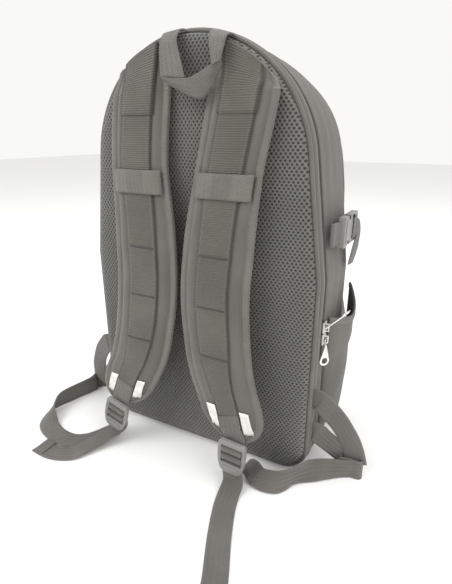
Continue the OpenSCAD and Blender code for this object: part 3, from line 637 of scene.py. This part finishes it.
def makePocketShell():
    start, nose = bag["frontY"], bag["noseY"]
    rows = []
    for tuck, out in ((0.0045, 0.0), (0.0008, 0.003), (0.0, 0.007)):
        rows.append(pocketRow(lambda x, z: tuck, lambda z: start + out))
    for k in range(1, 7):
        y = mix(start + 0.007, nose - pocket["round"], k / 6)
        rows.append(pocketRow(lambda x, z: 0.002 * ripple(x * 22, y * 45, z * 11, 4), lambda z: y))
    turn = lambda z: mix(0.01, pocket["round"], ease(0.0, 0.06, z))
    for k in range(1, 9):
        a = radians(90 * k / 8)
        rows.append(pocketRow(lambda x, z: turn(z) * (1 - cos(a)),
                              lambda z: nose - turn(z) + turn(z) * sin(a)))
    edge = rows[-1]
    for share in [0.97, 0.9, 0.8, 0.7, 0.6, 0.5, 0.4, 0.3, 0.2, 0.1, 0.02]:
        row = []
        for x, y, z in edge:
            px, pz = x * share, centreZ + (z - centreZ) * share
            belly = 0.004 * (1 - share ** 2) + 0.003 * ripple(px * 13, 0, pz * 9, 5) * ease(1.0, 0.8, share)
            row.append((px, y + belly * ease(0.0, 0.05, pz), pz))
        rows.append(row)
    return layOut("pocketShell", rows, closed=True, capped=True)

def makeFrontPocket():
    whole = makePocketShell()
    zipY, lidZ = pocket["zipY"], pocket["lidZ"]
    cutBy(whole, (0, zipY, 0), (0, 1, 0), "both")
    cutBy(whole, (0, 0, lidZ), (0, 0, 1), "both")
    use(whole)
    bpy.ops.object.duplicate()
    lid = bpy.context.object
    lid.name = lid.data.name = "pocketLid"
    inLid = lambda c: c.y > zipY and c.z > lidZ
    dropFaces(whole, inLid)
    dropFaces(lid, lambda c: not inLid(c))
    whole.name = "pocketBody"
    for vertex in lid.data.vertices:
        if vertex.co.y < zipY + 0.0002:
            vertex.co.y += 0.0004
        if vertex.co.z < lidZ + 0.0002:
            vertex.co.z += 0.0003
    thicken(whole, 0.0012)
    thicken(lid, 0.0012)
    finishPiece(whole, shellCloth, "shell_fabric", None, "front_pocket")
    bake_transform(whole)
    finishPiece(lid, shellCloth, "shell_fabric", None, "pocket_lid")
    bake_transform(lid)
    zips = (("pocketZipBody", zipY - 0.0036, zipY - 0.0002, "upper", "front_zip_body"),
            ("pocketZipLid", zipY + 0.0002, zipY + 0.0036, "lid", "front_zip_lid"))
    for name, first, last, body, node in zips:
        crest = [0.0, 0.0002, 0.0005, 0.0008, 0.001, 0.0006]
        if body == "lid":
            crest.reverse()
        rows = []
        for k in range(6):
            y = mix(first, last, k / 5)
            rows.append(pocketRow(lambda x, z: -(0.0004 + crest[k]), lambda z: y))
        strip = layOut(name, rows, closed=True)
        cutBy(strip, (0, 0, lidZ + 0.001), (0, 0, 1), "outer")
        thicken(strip, 0.0008)
        finishPiece(strip, zipCoil, "zip_tape", body, node)


# height, middle, half width, face and thickness of the right-hand strap
strapLine = [
    (0.063, 0.0815, 0.012, -0.1425, 0.007), (0.068, 0.08, 0.023, -0.1415, 0.0085),
    (0.075, 0.078, 0.0315, -0.1405, 0.01), (0.086, 0.0745, 0.0378, -0.1392, 0.0112),
    (0.102, 0.069, 0.0404, -0.1372, 0.012), (0.122, 0.0605, 0.0412, -0.135, 0.0124),
    (0.146, 0.0535, 0.0415, -0.133, 0.0125), (0.172, 0.0492, 0.0416, -0.1308, 0.0125),
    (0.202, 0.0458, 0.042, -0.1285, 0.0125), (0.232, 0.0446, 0.0418, -0.126, 0.0125),
    (0.262, 0.0462, 0.0416, -0.1232, 0.0125), (0.3, 0.049, 0.0403, -0.1195, 0.0125),
    (0.35, 0.0548, 0.0378, -0.1145, 0.0125), (0.4, 0.0588, 0.0378, -0.108, 0.012),
    (0.44, 0.06, 0.037, -0.102, 0.0105), (0.462, 0.0588, 0.0352, -0.0985, 0.008),
    (0.482, 0.058, 0.034, -0.096, 0.006)]
strap = {"top": 0.482, "end": 0.063, "band": 0.02, "bandEnd": 0.09, "edge": 0.008,
         "sewn": (0, 0, 0.462), "free": (0, 0, 0.4)}

topLean = 0.007                  # the soft top sits a little to the right

def archLimit(x):
    reach = bag["archRadius"] - 0.0055
    return archZ + sqrt(max(reach * reach - min(abs(x), reach) ** 2, 0))

def frontRise(share, half, thick):
    # how far the face stands in front of the strap's middle plane
    edge = min(strap["edge"] / half, 0.45)
    inner = 1 - edge
    away = abs(share)
    if away < inner:
        rise = thick / 2 * (1 - 0.16 * (away / inner) ** 2 - 0.42 * ease(inner - 0.14, inner, away))
        return rise - 0.0006 * (1 - ease(0.0, 0.045, abs(away * half - strap["band"] - 0.0012) / half))
    t = (away - inner) / edge
    return 0.0011 + 0.0021 * sqrt(max(1 - (2 * t - 1) ** 2, 0)) * (1 if t < 0.97 else 0.4)

def strapSpot(side, height, share, lift=0.0, back=False):
    middle, half, face, thick = rowAt(strapLine, height)[1:]
    x = middle + share * half
    plane = face + thick / 2
    rise = frontRise(share, half, thick)
    y = plane + rise * 0.8 if back else plane - rise - lift
    z = height
    if height > 0.425:
        limit = archLimit(x * side + topLean) - 0.002
        z = mix(0.425, min(limit, 0.486), (height - 0.425) / (strap["top"] - 0.425))
    y += 0.0007 * ripple(x * 25, z * 25, 0, 6) * (1 - abs(share))
    return (x * side + topLean * ease(0.34, 0.455, height), y, z)

strapShares = [0.0, 0.1, 0.22, 0.34, 0.44, 0.485, 0.53, 0.6, 0.68, 0.745, 0.79, 0.81, 0.84, 0.88, 0.92,
               0.96, 0.99]

def makeStrapFoam(side, tag):
    rows = []
    steps = 110
    shares = [-s for s in reversed(strapShares)] + strapShares[1:]
    for k in range(steps + 1):
        height = mix(strap["end"], strap["top"], (k / steps) ** 1.15)
        ring = [strapSpot(side, height, s) for s in shares]
        ring += [strapSpot(side, height, s, back=True) for s in reversed(shares)]
        ring.append(ring[0])
        rows.append(ring)
    half = 0.0416
    across = [s * half for s in shares] + [s * half for s in reversed(shares)] + [shares[0] * half]
    piece = layOut("strapFoam" + tag, rows, across=across, closed=True, capped=True)
    finishPiece(piece, [strapKnit, bindingTape], "strap_cover", None, "strap_foam_" + tag,
                "strap_root_" + tag)
    layer = piece.data.uv_layers[0].data
    for face in piece.data.polygons:
        away = max(abs(layer[i].uv.x) for i in face.loop_indices) / half
        face.material_index = 1 if away > 0.805 else 0
    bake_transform(piece)

def stripOnStrap(name, side, span, edges, lift, finish, slotName, body=None, nodes=(), steps=40, bow=0.0,
                 thick=0.0012, wide=10):
    # a strip of fabric that follows the strap's face; edges are in metres from the strap's middle
    low, high = span
    rows = []
    for k in range(steps + 1):
        height = mix(low, high, k / steps)
        half = rowAt(strapLine, height)[2]
        left, right = edges(height)
        row = []
        for j in range(wide + 1):
            share = max(min(mix(left, right, j / wide) / half, 0.99), -0.99)
            arch = bow * sin(pi * j / wide) * sin(pi * k / steps)
            row.append(strapSpot(side, height, share, lift + arch))
        rows.append(row)
    left, right = edges(low + 0.5 * (high - low))
    piece = layOut(name, rows, across=[mix(left, right, j / wide) for j in range(wide + 1)], flip=side > 0)
    thicken(piece, thick, offset=0.0)
    return finishPiece(piece, finish, slotName, body, *nodes)

def makeStrapTrim(side, tag):
    body = "strap_" + tag
    def bandEdges(height):
        half = mix(0.0135, strap["band"], ease(strap["bandEnd"], 0.185, height))
        return -half, half
    def even(half):
        return lambda height: (-half, half)
    band = stripOnStrap("strapBand" + tag, side, (strap["bandEnd"], 0.409), bandEdges, 0.0011, ribbedBand,
                        "ribbed_band", nodes=["strap_band_" + tag], steps=90)
    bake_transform(band)
    upper = stripOnStrap("strapBandTop" + tag, side, (0.405, 0.481), even(0.0212), 0.0022, ribbedBand,
                         "ribbed_band", steps=30, thick=0.0016)
    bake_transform(upper)
    stripOnStrap("strapCrossbar" + tag, side, (0.325, 0.35), even(0.0315), 0.003, strapWebbing, "webbing",
                 body, ["strap_crossbar_" + tag], steps=10, bow=0.0016, thick=0.0015, wide=20)
    for k, height in enumerate((0.155, 0.21, 0.266)):
        stripOnStrap("bartack%d%s" % (k, tag), side, (height, height + 0.0016), even(0.0165), 0.002,
                     threadFinish, "webbing", body, steps=2, thick=0.0005)
    for j, (near, far) in enumerate(((-0.0262, -0.015), (0.015, 0.0262))):
        stripOnStrap("reflector%d%s" % (j, tag), side, (0.076, 0.1), lambda height: (near, far), 0.0012,
                     reflectiveTape, "reflective", body, ["strap_reflectors_" + tag], steps=8, thick=0.0006)

def webbingStrip(name, stations, side, width, body, *nodes, thick=0.0015, steps=6, wave=0.0):
    # a flat strap with soft edges, laid through stations of place and direction of width
    route = curveThrough(mirrorX(stations, side), steps)
    places = [Vector(s[:3]) for s in route]
    last = len(route) - 1
    profile = []
    for a in range(11):
        across = a / 10 - 0.5
        plump = thick / 2 * (1.15 if abs(across) > 0.42 else 1.0) * (0.55 if abs(across) > 0.49 else 1.0)
        profile.append((across * width, plump))
    section = profile + [(a, -h) for a, h in reversed(profile)]
    section.append(section[0])
    rows = []
    for i, place in enumerate(places):
        along = (places[min(i + 1, last)] - places[max(i - 1, 0)]).normalized()
        wide = Vector(route[i][3:])
        wide = (wide - along * wide.dot(along)).normalized()
        out = along.cross(wide).normalized()
        row = []
        for a, h in section:
            sway = wave * ripple(place.x * 40, place.y * 40, place.z * 40 + a * 30, 8)
            row.append(tuple(place + wide * a + out * (h + sway)))
        rows.append(row)
    piece = layOut(name, rows, across=[a for a, h in section], closed=True, capped=True)
    return finishPiece(piece, strapWebbing, "webbing", body, *nodes)

def mirrorX(stations, side):
    return [(s[0] * side, *s[1:3], s[3] * side, *s[4:]) for s in stations]

# the ladder locks, in the right-hand side's frame, in metres
lock = {"x": 0.082, "y": -0.1465, "z": 0.065, "lean": {"r": -4.0, "l": 16.0}, "height": 0.043,
        "bar1": -0.0125, "bar2": -0.0225, "wrap": 0.0031}

def onLock(tag, y, z):
    lean = radians(lock["lean"][tag])
    return (lock["x"] - z * sin(lean), lock["y"] + y, lock["z"] + z * cos(lean), cos(lean), 0.0, sin(lean))

def wrapBar(tag, bar, first, last, count):
    turns = [radians(mix(first, last, i / count)) for i in range(count + 1)]
    return [onLock(tag, -lock["wrap"] * cos(a), bar + lock["wrap"] * sin(a)) for a in turns]

tailRoute = {
    "r": [(0.082, -0.1455, 0.009, 1, 0, 0), (0.083, -0.1585, 0.002, 1, 0.1, 0),
          (0.088, -0.1785, 0.001, 1, 0.3, 0), (0.101, -0.2125, 0.001, 1, 0.4, 0),
          (0.118, -0.2505, 0.001, 1, 0.42, 0), (0.13, -0.2805, 0.001, 1, 0.4, 0)],
    "l": [(0.098, -0.1465, 0.016, 1, 0.2, -0.2), (0.107, -0.1595, 0.009, 0.9, 0.4, 0),
          (0.116, -0.1775, 0.005, 0.9, 0.5, 0), (0.125, -0.1925, 0.0022, 0.6, 0.8, 0),
          (0.148, -0.2015, 0.001, 0.1, 1, 0), (0.175, -0.2005, 0.001, -0.05, 1, 0)],
}

def makeTail(side, tag):
    bar = lock["bar2"]
    stations = [onLock(tag, 0.005, bar + 0.0015), onLock(tag, 0.0034, bar + 0.0029)]
    stations += wrapBar(tag, bar, 120, -50, 8)
    stations += [onLock(tag, 0.0015, bar - 0.0051), onLock(tag, 0.0032, bar - 0.008),
                 onLock(tag, 0.0036, -lock["height"] + 0.001)]
    stations += tailRoute[tag]
    piece = webbingStrip("tail" + tag, stations, side, 0.025, "strap_" + tag, "tail_" + tag, steps=5,
                         wave=0.0006)
    path = [tuple(Vector(s[:3])) for s in curveThrough(mirrorX(stations, side), 5)]
    # the end is folded over and sewn
    tip = Vector(path[-1])
    back = (Vector(path[-8]) - tip).normalized()
    wide = Vector(stations[-1][3:])
    wide.x *= side
    hem = [tuple(tip + back * t + Vector((0, 0, 0.0012))) + tuple(wide) for t in (0.001, 0.009, 0.017)]
    webbingStrip("tailHem" + tag, hem, 1, 0.0246, "strap_" + tag, thick=0.0013, steps=3)

addCamera()
for side, tag in ((1, "r"), (-1, "l")):
    makeTail(side, tag)
print("camera and free ends placed")

yoke = {"apex": (0.203, -0.06, 0.013), "seam": bag["seamY"], "side": bag["halfWidth"]}

def makeYoke(side, tag):
    ax, ay, az = yoke["apex"]
    sx, sy = yoke["side"], yoke["seam"]
    upperLeg = [(sx - 0.002, sy + 0.0015, 0.1035, 0, 0, 1), (sx + 0.0055, sy + 0.0024, 0.1025, 0, 0, 1),
                (sx + 0.012, sy + 0.003, 0.098, 0.1, 0, 1), (sx + 0.03, sy + 0.009, 0.076, 0.5, 0, 0.8),
                (sx + 0.045, sy + 0.017, 0.045, 0.9, 0, 0.5), (ax - 0.001, ay + 0.002, 0.0155, 0.6, 0, 0.8)]
    lowerLeg = [(sx - 0.002, sy + 0.004, 0.0585, 0, 0, 1), (sx + 0.005, sy + 0.005, 0.0572, 0, 0, 1),
                (sx + 0.013, sy + 0.009, 0.049, 0.2, 0, 1), (sx + 0.032, sy + 0.018, 0.03, 0.3, 0, 1),
                (ax - 0.006, ay + 0.006, az + 0.003, 0, 0, 1)]
    webbingStrip("yokeUpper" + tag, upperLeg, side, 0.025, "bag", "corner_yoke_" + tag, wave=0.0012)
    webbingStrip("yokeLower" + tag, lowerLeg, side, 0.025, "bag", wave=0.0012)

def makeYokeFold(side, tag):
    ax, ay, az = yoke["apex"]
    stations = [(ax - 0.02, ay - 0.0085, az + 0.002, 0, 0, 1), (ax - 0.008, ay - 0.005, az + 0.0008, 0, 0, 1),
                (ax + 0.0025, ay - 0.004, az, 0, 0, 1), (ax + 0.0068, ay - 0.0005, az, 0, 0, 1),
                (ax + 0.0035, ay + 0.004, az, 0, 0, 1), (ax - 0.006, ay + 0.008, az + 0.002, 0, 0, 1),
                (ax - 0.016, ay + 0.01, az + 0.006, 0, 0, 1)]
    if side < 0:
        stations[:3] = [(ax + 0.0065, ay - 0.022, az, 0, 0, 1), (ax + 0.0052, ay - 0.01, az, 0, 0, 1)]
    webbingStrip("yokeFold" + tag, stations, side, 0.0256, "bag", thick=0.0014, steps=5, wave=0.0005)

adjusterRoute = {
    "r": [(0.203, -0.0615, 0.0132, 0, 0, 1), (0.188, -0.07, 0.0132, 0, 0.05, 1),
          (0.171, -0.08, 0.0135, 0, 0.4, 0.9), (0.155, -0.092, 0.013, 0.2, 0.7, 0.7),
          (0.144, -0.107, 0.014, 0.3, 0.5, 0.8), (0.135, -0.12, 0.0135, 0.1, 0.4, 0.9),
          (0.124, -0.128, 0.013, 0, 0.5, 0.85), (0.108, -0.13, 0.013, 0.1, 0.5, 0.8),
          (0.094, -0.125, 0.017, 0.6, 0.42, 0.6)],
    "l": [(0.205, -0.063, 0.0132, 0, 0, 1), (0.214, -0.102, 0.0132, 0, 0, 1),
          (0.218, -0.128, 0.0133, -0.2, 0.1, 1), (0.212, -0.152, 0.009, -0.6, 0.3, 0.6),
          (0.194, -0.168, 0.004, -0.3, 1, 0.15), (0.172, -0.175, 0.0018, -0.1, 1, 0),
          (0.149, -0.175, 0.0014, 0.2, 1, 0), (0.129, -0.164, 0.0016, 0.7, 0.7, 0),
          (0.114, -0.149, 0.0054, 0.8, 0.6, 0), (0.103, -0.14, 0.013, 0.9, 0.4, -0.2)],
}

def makeAdjuster(side, tag):
    stations = adjusterRoute[tag] + [onLock(tag, 0.0104, -lock["height"]),
                                     onLock(tag, 0.0092, -lock["height"] + 0.012),
                                     onLock(tag, 0.0056, lock["bar2"] - 0.0006)]
    piece = webbingStrip("adjuster" + tag, stations, side, 0.025, None, "adjuster_" + tag, wave=0.001)
    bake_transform(piece)

def makeLockLoop(side, tag):
    lean = onLock(tag, 0, 0)[3:]
    stations = []
    for height in (0.0925, 0.084, 0.076):
        row = rowAt(strapLine, height)
        stations.append((row[1], row[3] - 0.0018, height) + lean)
    stations += [onLock(tag, 0.0046, 0.003), onLock(tag, 0.0048, 0.0), onLock(tag, 0.0052, -0.006)]
    stations += wrapBar(tag, lock["bar1"], 190, 450, 9)
    stations += [onLock(tag, 0.0023, -0.0088), onLock(tag, 0.003, -0.0058), onLock(tag, 0.003, -0.0015)]
    webbingStrip("lockLoop" + tag, stations, side, 0.0245, "strap_" + tag, "lock_loop_" + tag,
                 thick=0.0013, steps=4)

def makeLock(tag):
    piece = detailOf("ladder_lock_" + tag, "ladderLock" + tag, 0.0007)
    finishPiece(piece, bucklePlastic, "buckle_plastic", "strap_" + tag, "ladder_lock_" + tag)


# each station is the two edges of the webbing: across, out from the pad and down from the top
handle = {
    "top": 0.48, "thick": 0.0015, "width": 0.0215,
    "left": [
        (-0.0245, 0.0185, 0.001, -0.004, 0.0185, 0.003),
        (-0.024, 0.009, -0.001, -0.0038, 0.009, 0.0012),
        (-0.0225, 0.0003, -0.0105, -0.003, 0.0003, -0.0072),
        (-0.0207, -0.004, -0.0202, 0.0012, -0.004, -0.0176),
        (-0.0181, -0.0075, -0.0304, 0.0064, -0.0075, -0.0293),
        (-0.0162, -0.0098, -0.0402, 0.0113, -0.0098, -0.0433)],
    "right": [
        (0.03, 0.0185, -0.0008, 0.05, 0.0185, -0.0062),
        (0.0305, 0.009, -0.0018, 0.0505, 0.009, -0.0064),
        (0.0328, 0.0003, -0.009, 0.0513, 0.0003, -0.01),
        (0.0353, -0.004, -0.0155, 0.0516, -0.004, -0.0158),
        (0.0393, -0.0085, -0.0246, 0.0522, -0.0085, -0.023),
        (0.0425, -0.0108, -0.0345, 0.0514, -0.0108, -0.0312)],
    "sling": [
        (-0.0161, -0.0102, -0.0403, -0.0123, -0.0052, -0.0463),
        (-0.001, -0.0102, -0.0418, 0.0021, -0.0052, -0.0534),
        (0.0137, -0.0102, -0.0437, 0.0158, -0.0052, -0.0595),
        (0.0259, -0.0102, -0.04, 0.0293, -0.0052, -0.0612),
        (0.0377, -0.0102, -0.0349, 0.0377, -0.0052, -0.0516),
        (0.0461, -0.0102, -0.0318, 0.0442, -0.0052, -0.0388),
        (0.051, -0.0102, -0.0305, 0.0489, -0.0052, -0.0323)],
}

def makeHandle():
    y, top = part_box("grab_handle")[1].y - 0.0008, handle["top"]
    across = [(j / 8 - 0.5) * handle["width"] for j in range(9)]
    for name, route in (("grabHandle", "sling"), ("handleLegLeft", "left"), ("handleLegRight", "right")):
        rows = []
        for s in curveThrough(handle[route], 7):
            one, two = Vector((s[0], y + s[1], top + s[2])), Vector((s[3], y + s[4], top + s[5]))
            row = []
            for j in range(9):
                lift = 0.0012 * sin(pi * j / 8) + 0.0006 * ripple(s[0] * 60, s[2] * 60, j * 0.3, 8)
                row.append(tuple(one.lerp(two, j / 8) - Vector((0, lift, 0))))
            rows.append(row)
        piece = layOut(name, rows, across=across)
        thicken(piece, handle["thick"], offset=0.0)
        if route == "sling":
            finishPiece(piece, strapWebbing, "webbing", "handle", "grab_handle")
        else:
            finishPiece(piece, strapWebbing, "webbing")
            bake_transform(piece)


sidePocket = {"low": 0.036, "mouthRear": 0.192, "mouthFront": 0.207, "sag": 0.014, "depth": 0.0165}

def pocketMouth(t):
    return mix(sidePocket["mouthRear"], sidePocket["mouthFront"], t) - sidePocket["sag"] * sin(pi * t)

def pocketWall(side, t, height):
    low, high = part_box("side_pocket_r")
    y = mix(low.y, high.y, t)
    top = pocketMouth(t)
    share = min(max((height - sidePocket["low"]) / (top - sidePocket["low"]), 0), 1)
    belly = sin(pi * t) ** 0.75
    swell = (0.25 + 0.75 * sin(pi * min(share * 0.62 + 0.12, 1.0)) ** 0.8) * ease(0.0, 0.12, share)
    flare = 0.0035 * ease(0.86, 1.0, share) * sin(pi * t)
    crumple = 0.0022 * ripple(y * 45, height * 22, 0, 9 + side) * belly
    x = bag["halfWidth"] + 0.0006 + 0.0032 * ease(0.138, 0.16, height)
    x += (sidePocket["depth"] * swell + flare + crumple) * belly
    return (side * max(x, bag["halfWidth"] + 0.0004), y, height)

def makeSidePocket(side, tag):
    columns = [j / 32 for j in range(33)]
    rows = [[pocketWall(side, t, mix(sidePocket["low"], pocketMouth(t), k / 40)) for t in columns]
            for k in range(41)]
    piece = layOut("sidePocket" + tag, rows, flip=side < 0)
    thicken(piece, 0.001)
    finishPiece(piece, shellCloth, "shell_fabric", "bag", "side_pocket_" + tag)
    turns = [2 * pi * k / 12 for k in range(13)]
    rows = []
    for j in range(41):
        x, y, z = pocketWall(side, j / 40, pocketMouth(j / 40))
        rows.append([(x + side * (0.0016 * cos(a) - 0.0002), y, z + 0.0042 * sin(a) - 0.001) for a in turns])
    rim = layOut("pocketElastic" + tag, rows, closed=True, capped=True)
    finishPiece(rim, elasticTape, "binding", "bag", "pocket_elastic_" + tag)

compression = {"z": 0.288, "width": 0.025}

def makeCompression(side, tag):
    z = compression["z"]
    x = bag["halfWidth"]
    start = bag["zipFrontY"]
    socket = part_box("buckle_socket_r")
    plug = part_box("buckle_plug_r")
    rear = [(x - 0.001, start + 0.001, z, 0, 0, 1), (x + 0.0018, start + 0.003, z, 0, 0, 1),
            (x + 0.0026, start + 0.009, z, 0, 0, 1), (x + 0.0042, start + 0.014, z, 0, 0, 1),
            (x + 0.0056, socket[0].y + 0.001, z, 0, 0, 1)]
    webbingStrip("sideStrap" + tag, rear, side, compression["width"], "upper", "side_strap_" + tag)
    front = [(x - 0.001, bag["frontY"] - 0.001, z, 0, 0, 1), (x + 0.0016, bag["frontY"] - 0.004, z, 0, 0, 1),
             (x + 0.0034, plug[1].y + 0.001, z, 0, 0, 1), (x + 0.005, plug[1].y - 0.005, z, 0, 0, 1)]
    piece = webbingStrip("sideAnchor" + tag, front, side, 0.024, None, "side_anchor_" + tag)
    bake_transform(piece)
    halves = (("buckle_socket_", "buckleSocket", "upper"), ("buckle_plug_", "bucklePlug", "plug_" + tag))
    for node, name, body in halves:
        shape = detailOf(node + tag, name + tag, 0.0011)
        finishPiece(shape, bucklePlastic, "buckle_plastic", body, node + tag)
    y = plug[0].y + 0.019
    tail = [(x + 0.0112, y, z, 0, 0, 1), (x + 0.0118, y + 0.008, z - 0.001, 0, 0, 1),
            (x + 0.0135, y + 0.016, z - 0.004, 0, 0.4, 1), (x + 0.013, y + 0.021, z - 0.013, 0.1, 1, 0.5),
            (x + 0.011, y + 0.02, z - 0.027, 0.1, 1, 0), (x + 0.008, y + 0.018, z - 0.046, 0, 1, 0)]
    webbingStrip("sideTail" + tag, tail, side, 0.023, "plug_" + tag, "side_tail_" + tag, wave=0.0022)


def makeSliders():
    sliders = {"main_slider_a": "slider_a", "main_slider_b": "slider_b", "front_slider": "slider_f"}
    for node, body in sliders.items():
        finishPiece(detailOf(node, node + "_body", 0.0004), sliderNickel, "slider_metal", body, node)
    for node, body in (("main_pull_a", "pull_a"), ("main_pull_b", "pull_b"), ("front_pull", "pull_f")):
        tab = detailOf(node, node + "_tab", 0.00035)
        if node == "main_pull_a":      # hangs twisted below its ring
            low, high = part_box(node)
            for vertex in tab.data.vertices:
                dx, dy = vertex.co.x - (low.x + high.x) / 2, vertex.co.y - (low.y + high.y) / 2
                a = radians(-42) * (1 - ease(high.z - 0.0145, high.z - 0.0095, vertex.co.z))
                vertex.co.x += dx * cos(a) - dy * sin(a) - dx
                vertex.co.y += dx * sin(a) + dy * cos(a) - dy
        finishPiece(tab, nickel, "pull_metal", body, node)


def makeInside():
    inside = {"back_wall": liningCloth, "stiffener_sheet": boardFinish, "back_foam": foamFinish,
              "base_board": boardFinish}
    for node, finish in inside.items():
        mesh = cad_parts[node].data
        mesh.materials.clear()
        mesh.materials.append(finish)


makeBackPad()
makePiping()
makeRearBand()
makeMainZip()
print("back pad, piping and main zip made")
makeMainShell()
makeFrontPocket()
print("shells made")
for side, tag in ((1, "r"), (-1, "l")):
    makeStrapFoam(side, tag)
    makeStrapTrim(side, tag)
    makeYoke(side, tag)
    makeYokeFold(side, tag)
    makeAdjuster(side, tag)
    makeLockLoop(side, tag)
    makeLock(tag)
    makeSidePocket(side, tag)
    makeCompression(side, tag)
print("straps, locks and pockets made")
makeHandle()
makeSliders()
makeInside()


def floorFinish():
    n = surface("paleFloor", (0.86, 0.86, 0.855), 0.7, specular=0.2)
    n.bump([(n.cloud(60, 3), 0.02, 0.0005)])
    return n.material

def makeStudio():
    bpy.ops.object.select_all(action="DESELECT")
    bpy.ops.mesh.primitive_plane_add(size=12, location=(0, 0, 0))
    ground = bpy.context.object
    ground.name = "studioFloor"
    ground.data.materials.append(floorFinish())
    world = bpy.data.worlds.new("softStudio")
    bpy.context.scene.world = world
    world.use_nodes = True
    glow = world.node_tree.nodes["Background"].inputs
    glow["Color"].default_value = (1, 0.995, 0.965, 1)
    glow["Strength"].default_value = 0.95
    lamps = {"keyLight": ((-0.9, -1.5, 1.7), 1.4, 26.0), "sideLight": ((1.6, -0.6, 1.3), 1.6, 18.0),
             "topLight": ((0.1, 0.6, 2.1), 2.0, 14.0)}
    for name, (place, size, power) in lamps.items():
        bpy.ops.object.light_add(type="AREA", location=place)
        lamp = bpy.context.object
        lamp.name = name
        lamp.data.size = size
        lamp.data.energy = power
        lamp.rotation_euler = (Vector((0, 0, 0.22)) - Vector(place)).to_track_quat("-Z", "Y").to_euler()
    bpy.context.scene.view_settings.view_transform = "Standard"

makeStudio()
print("scene finished")
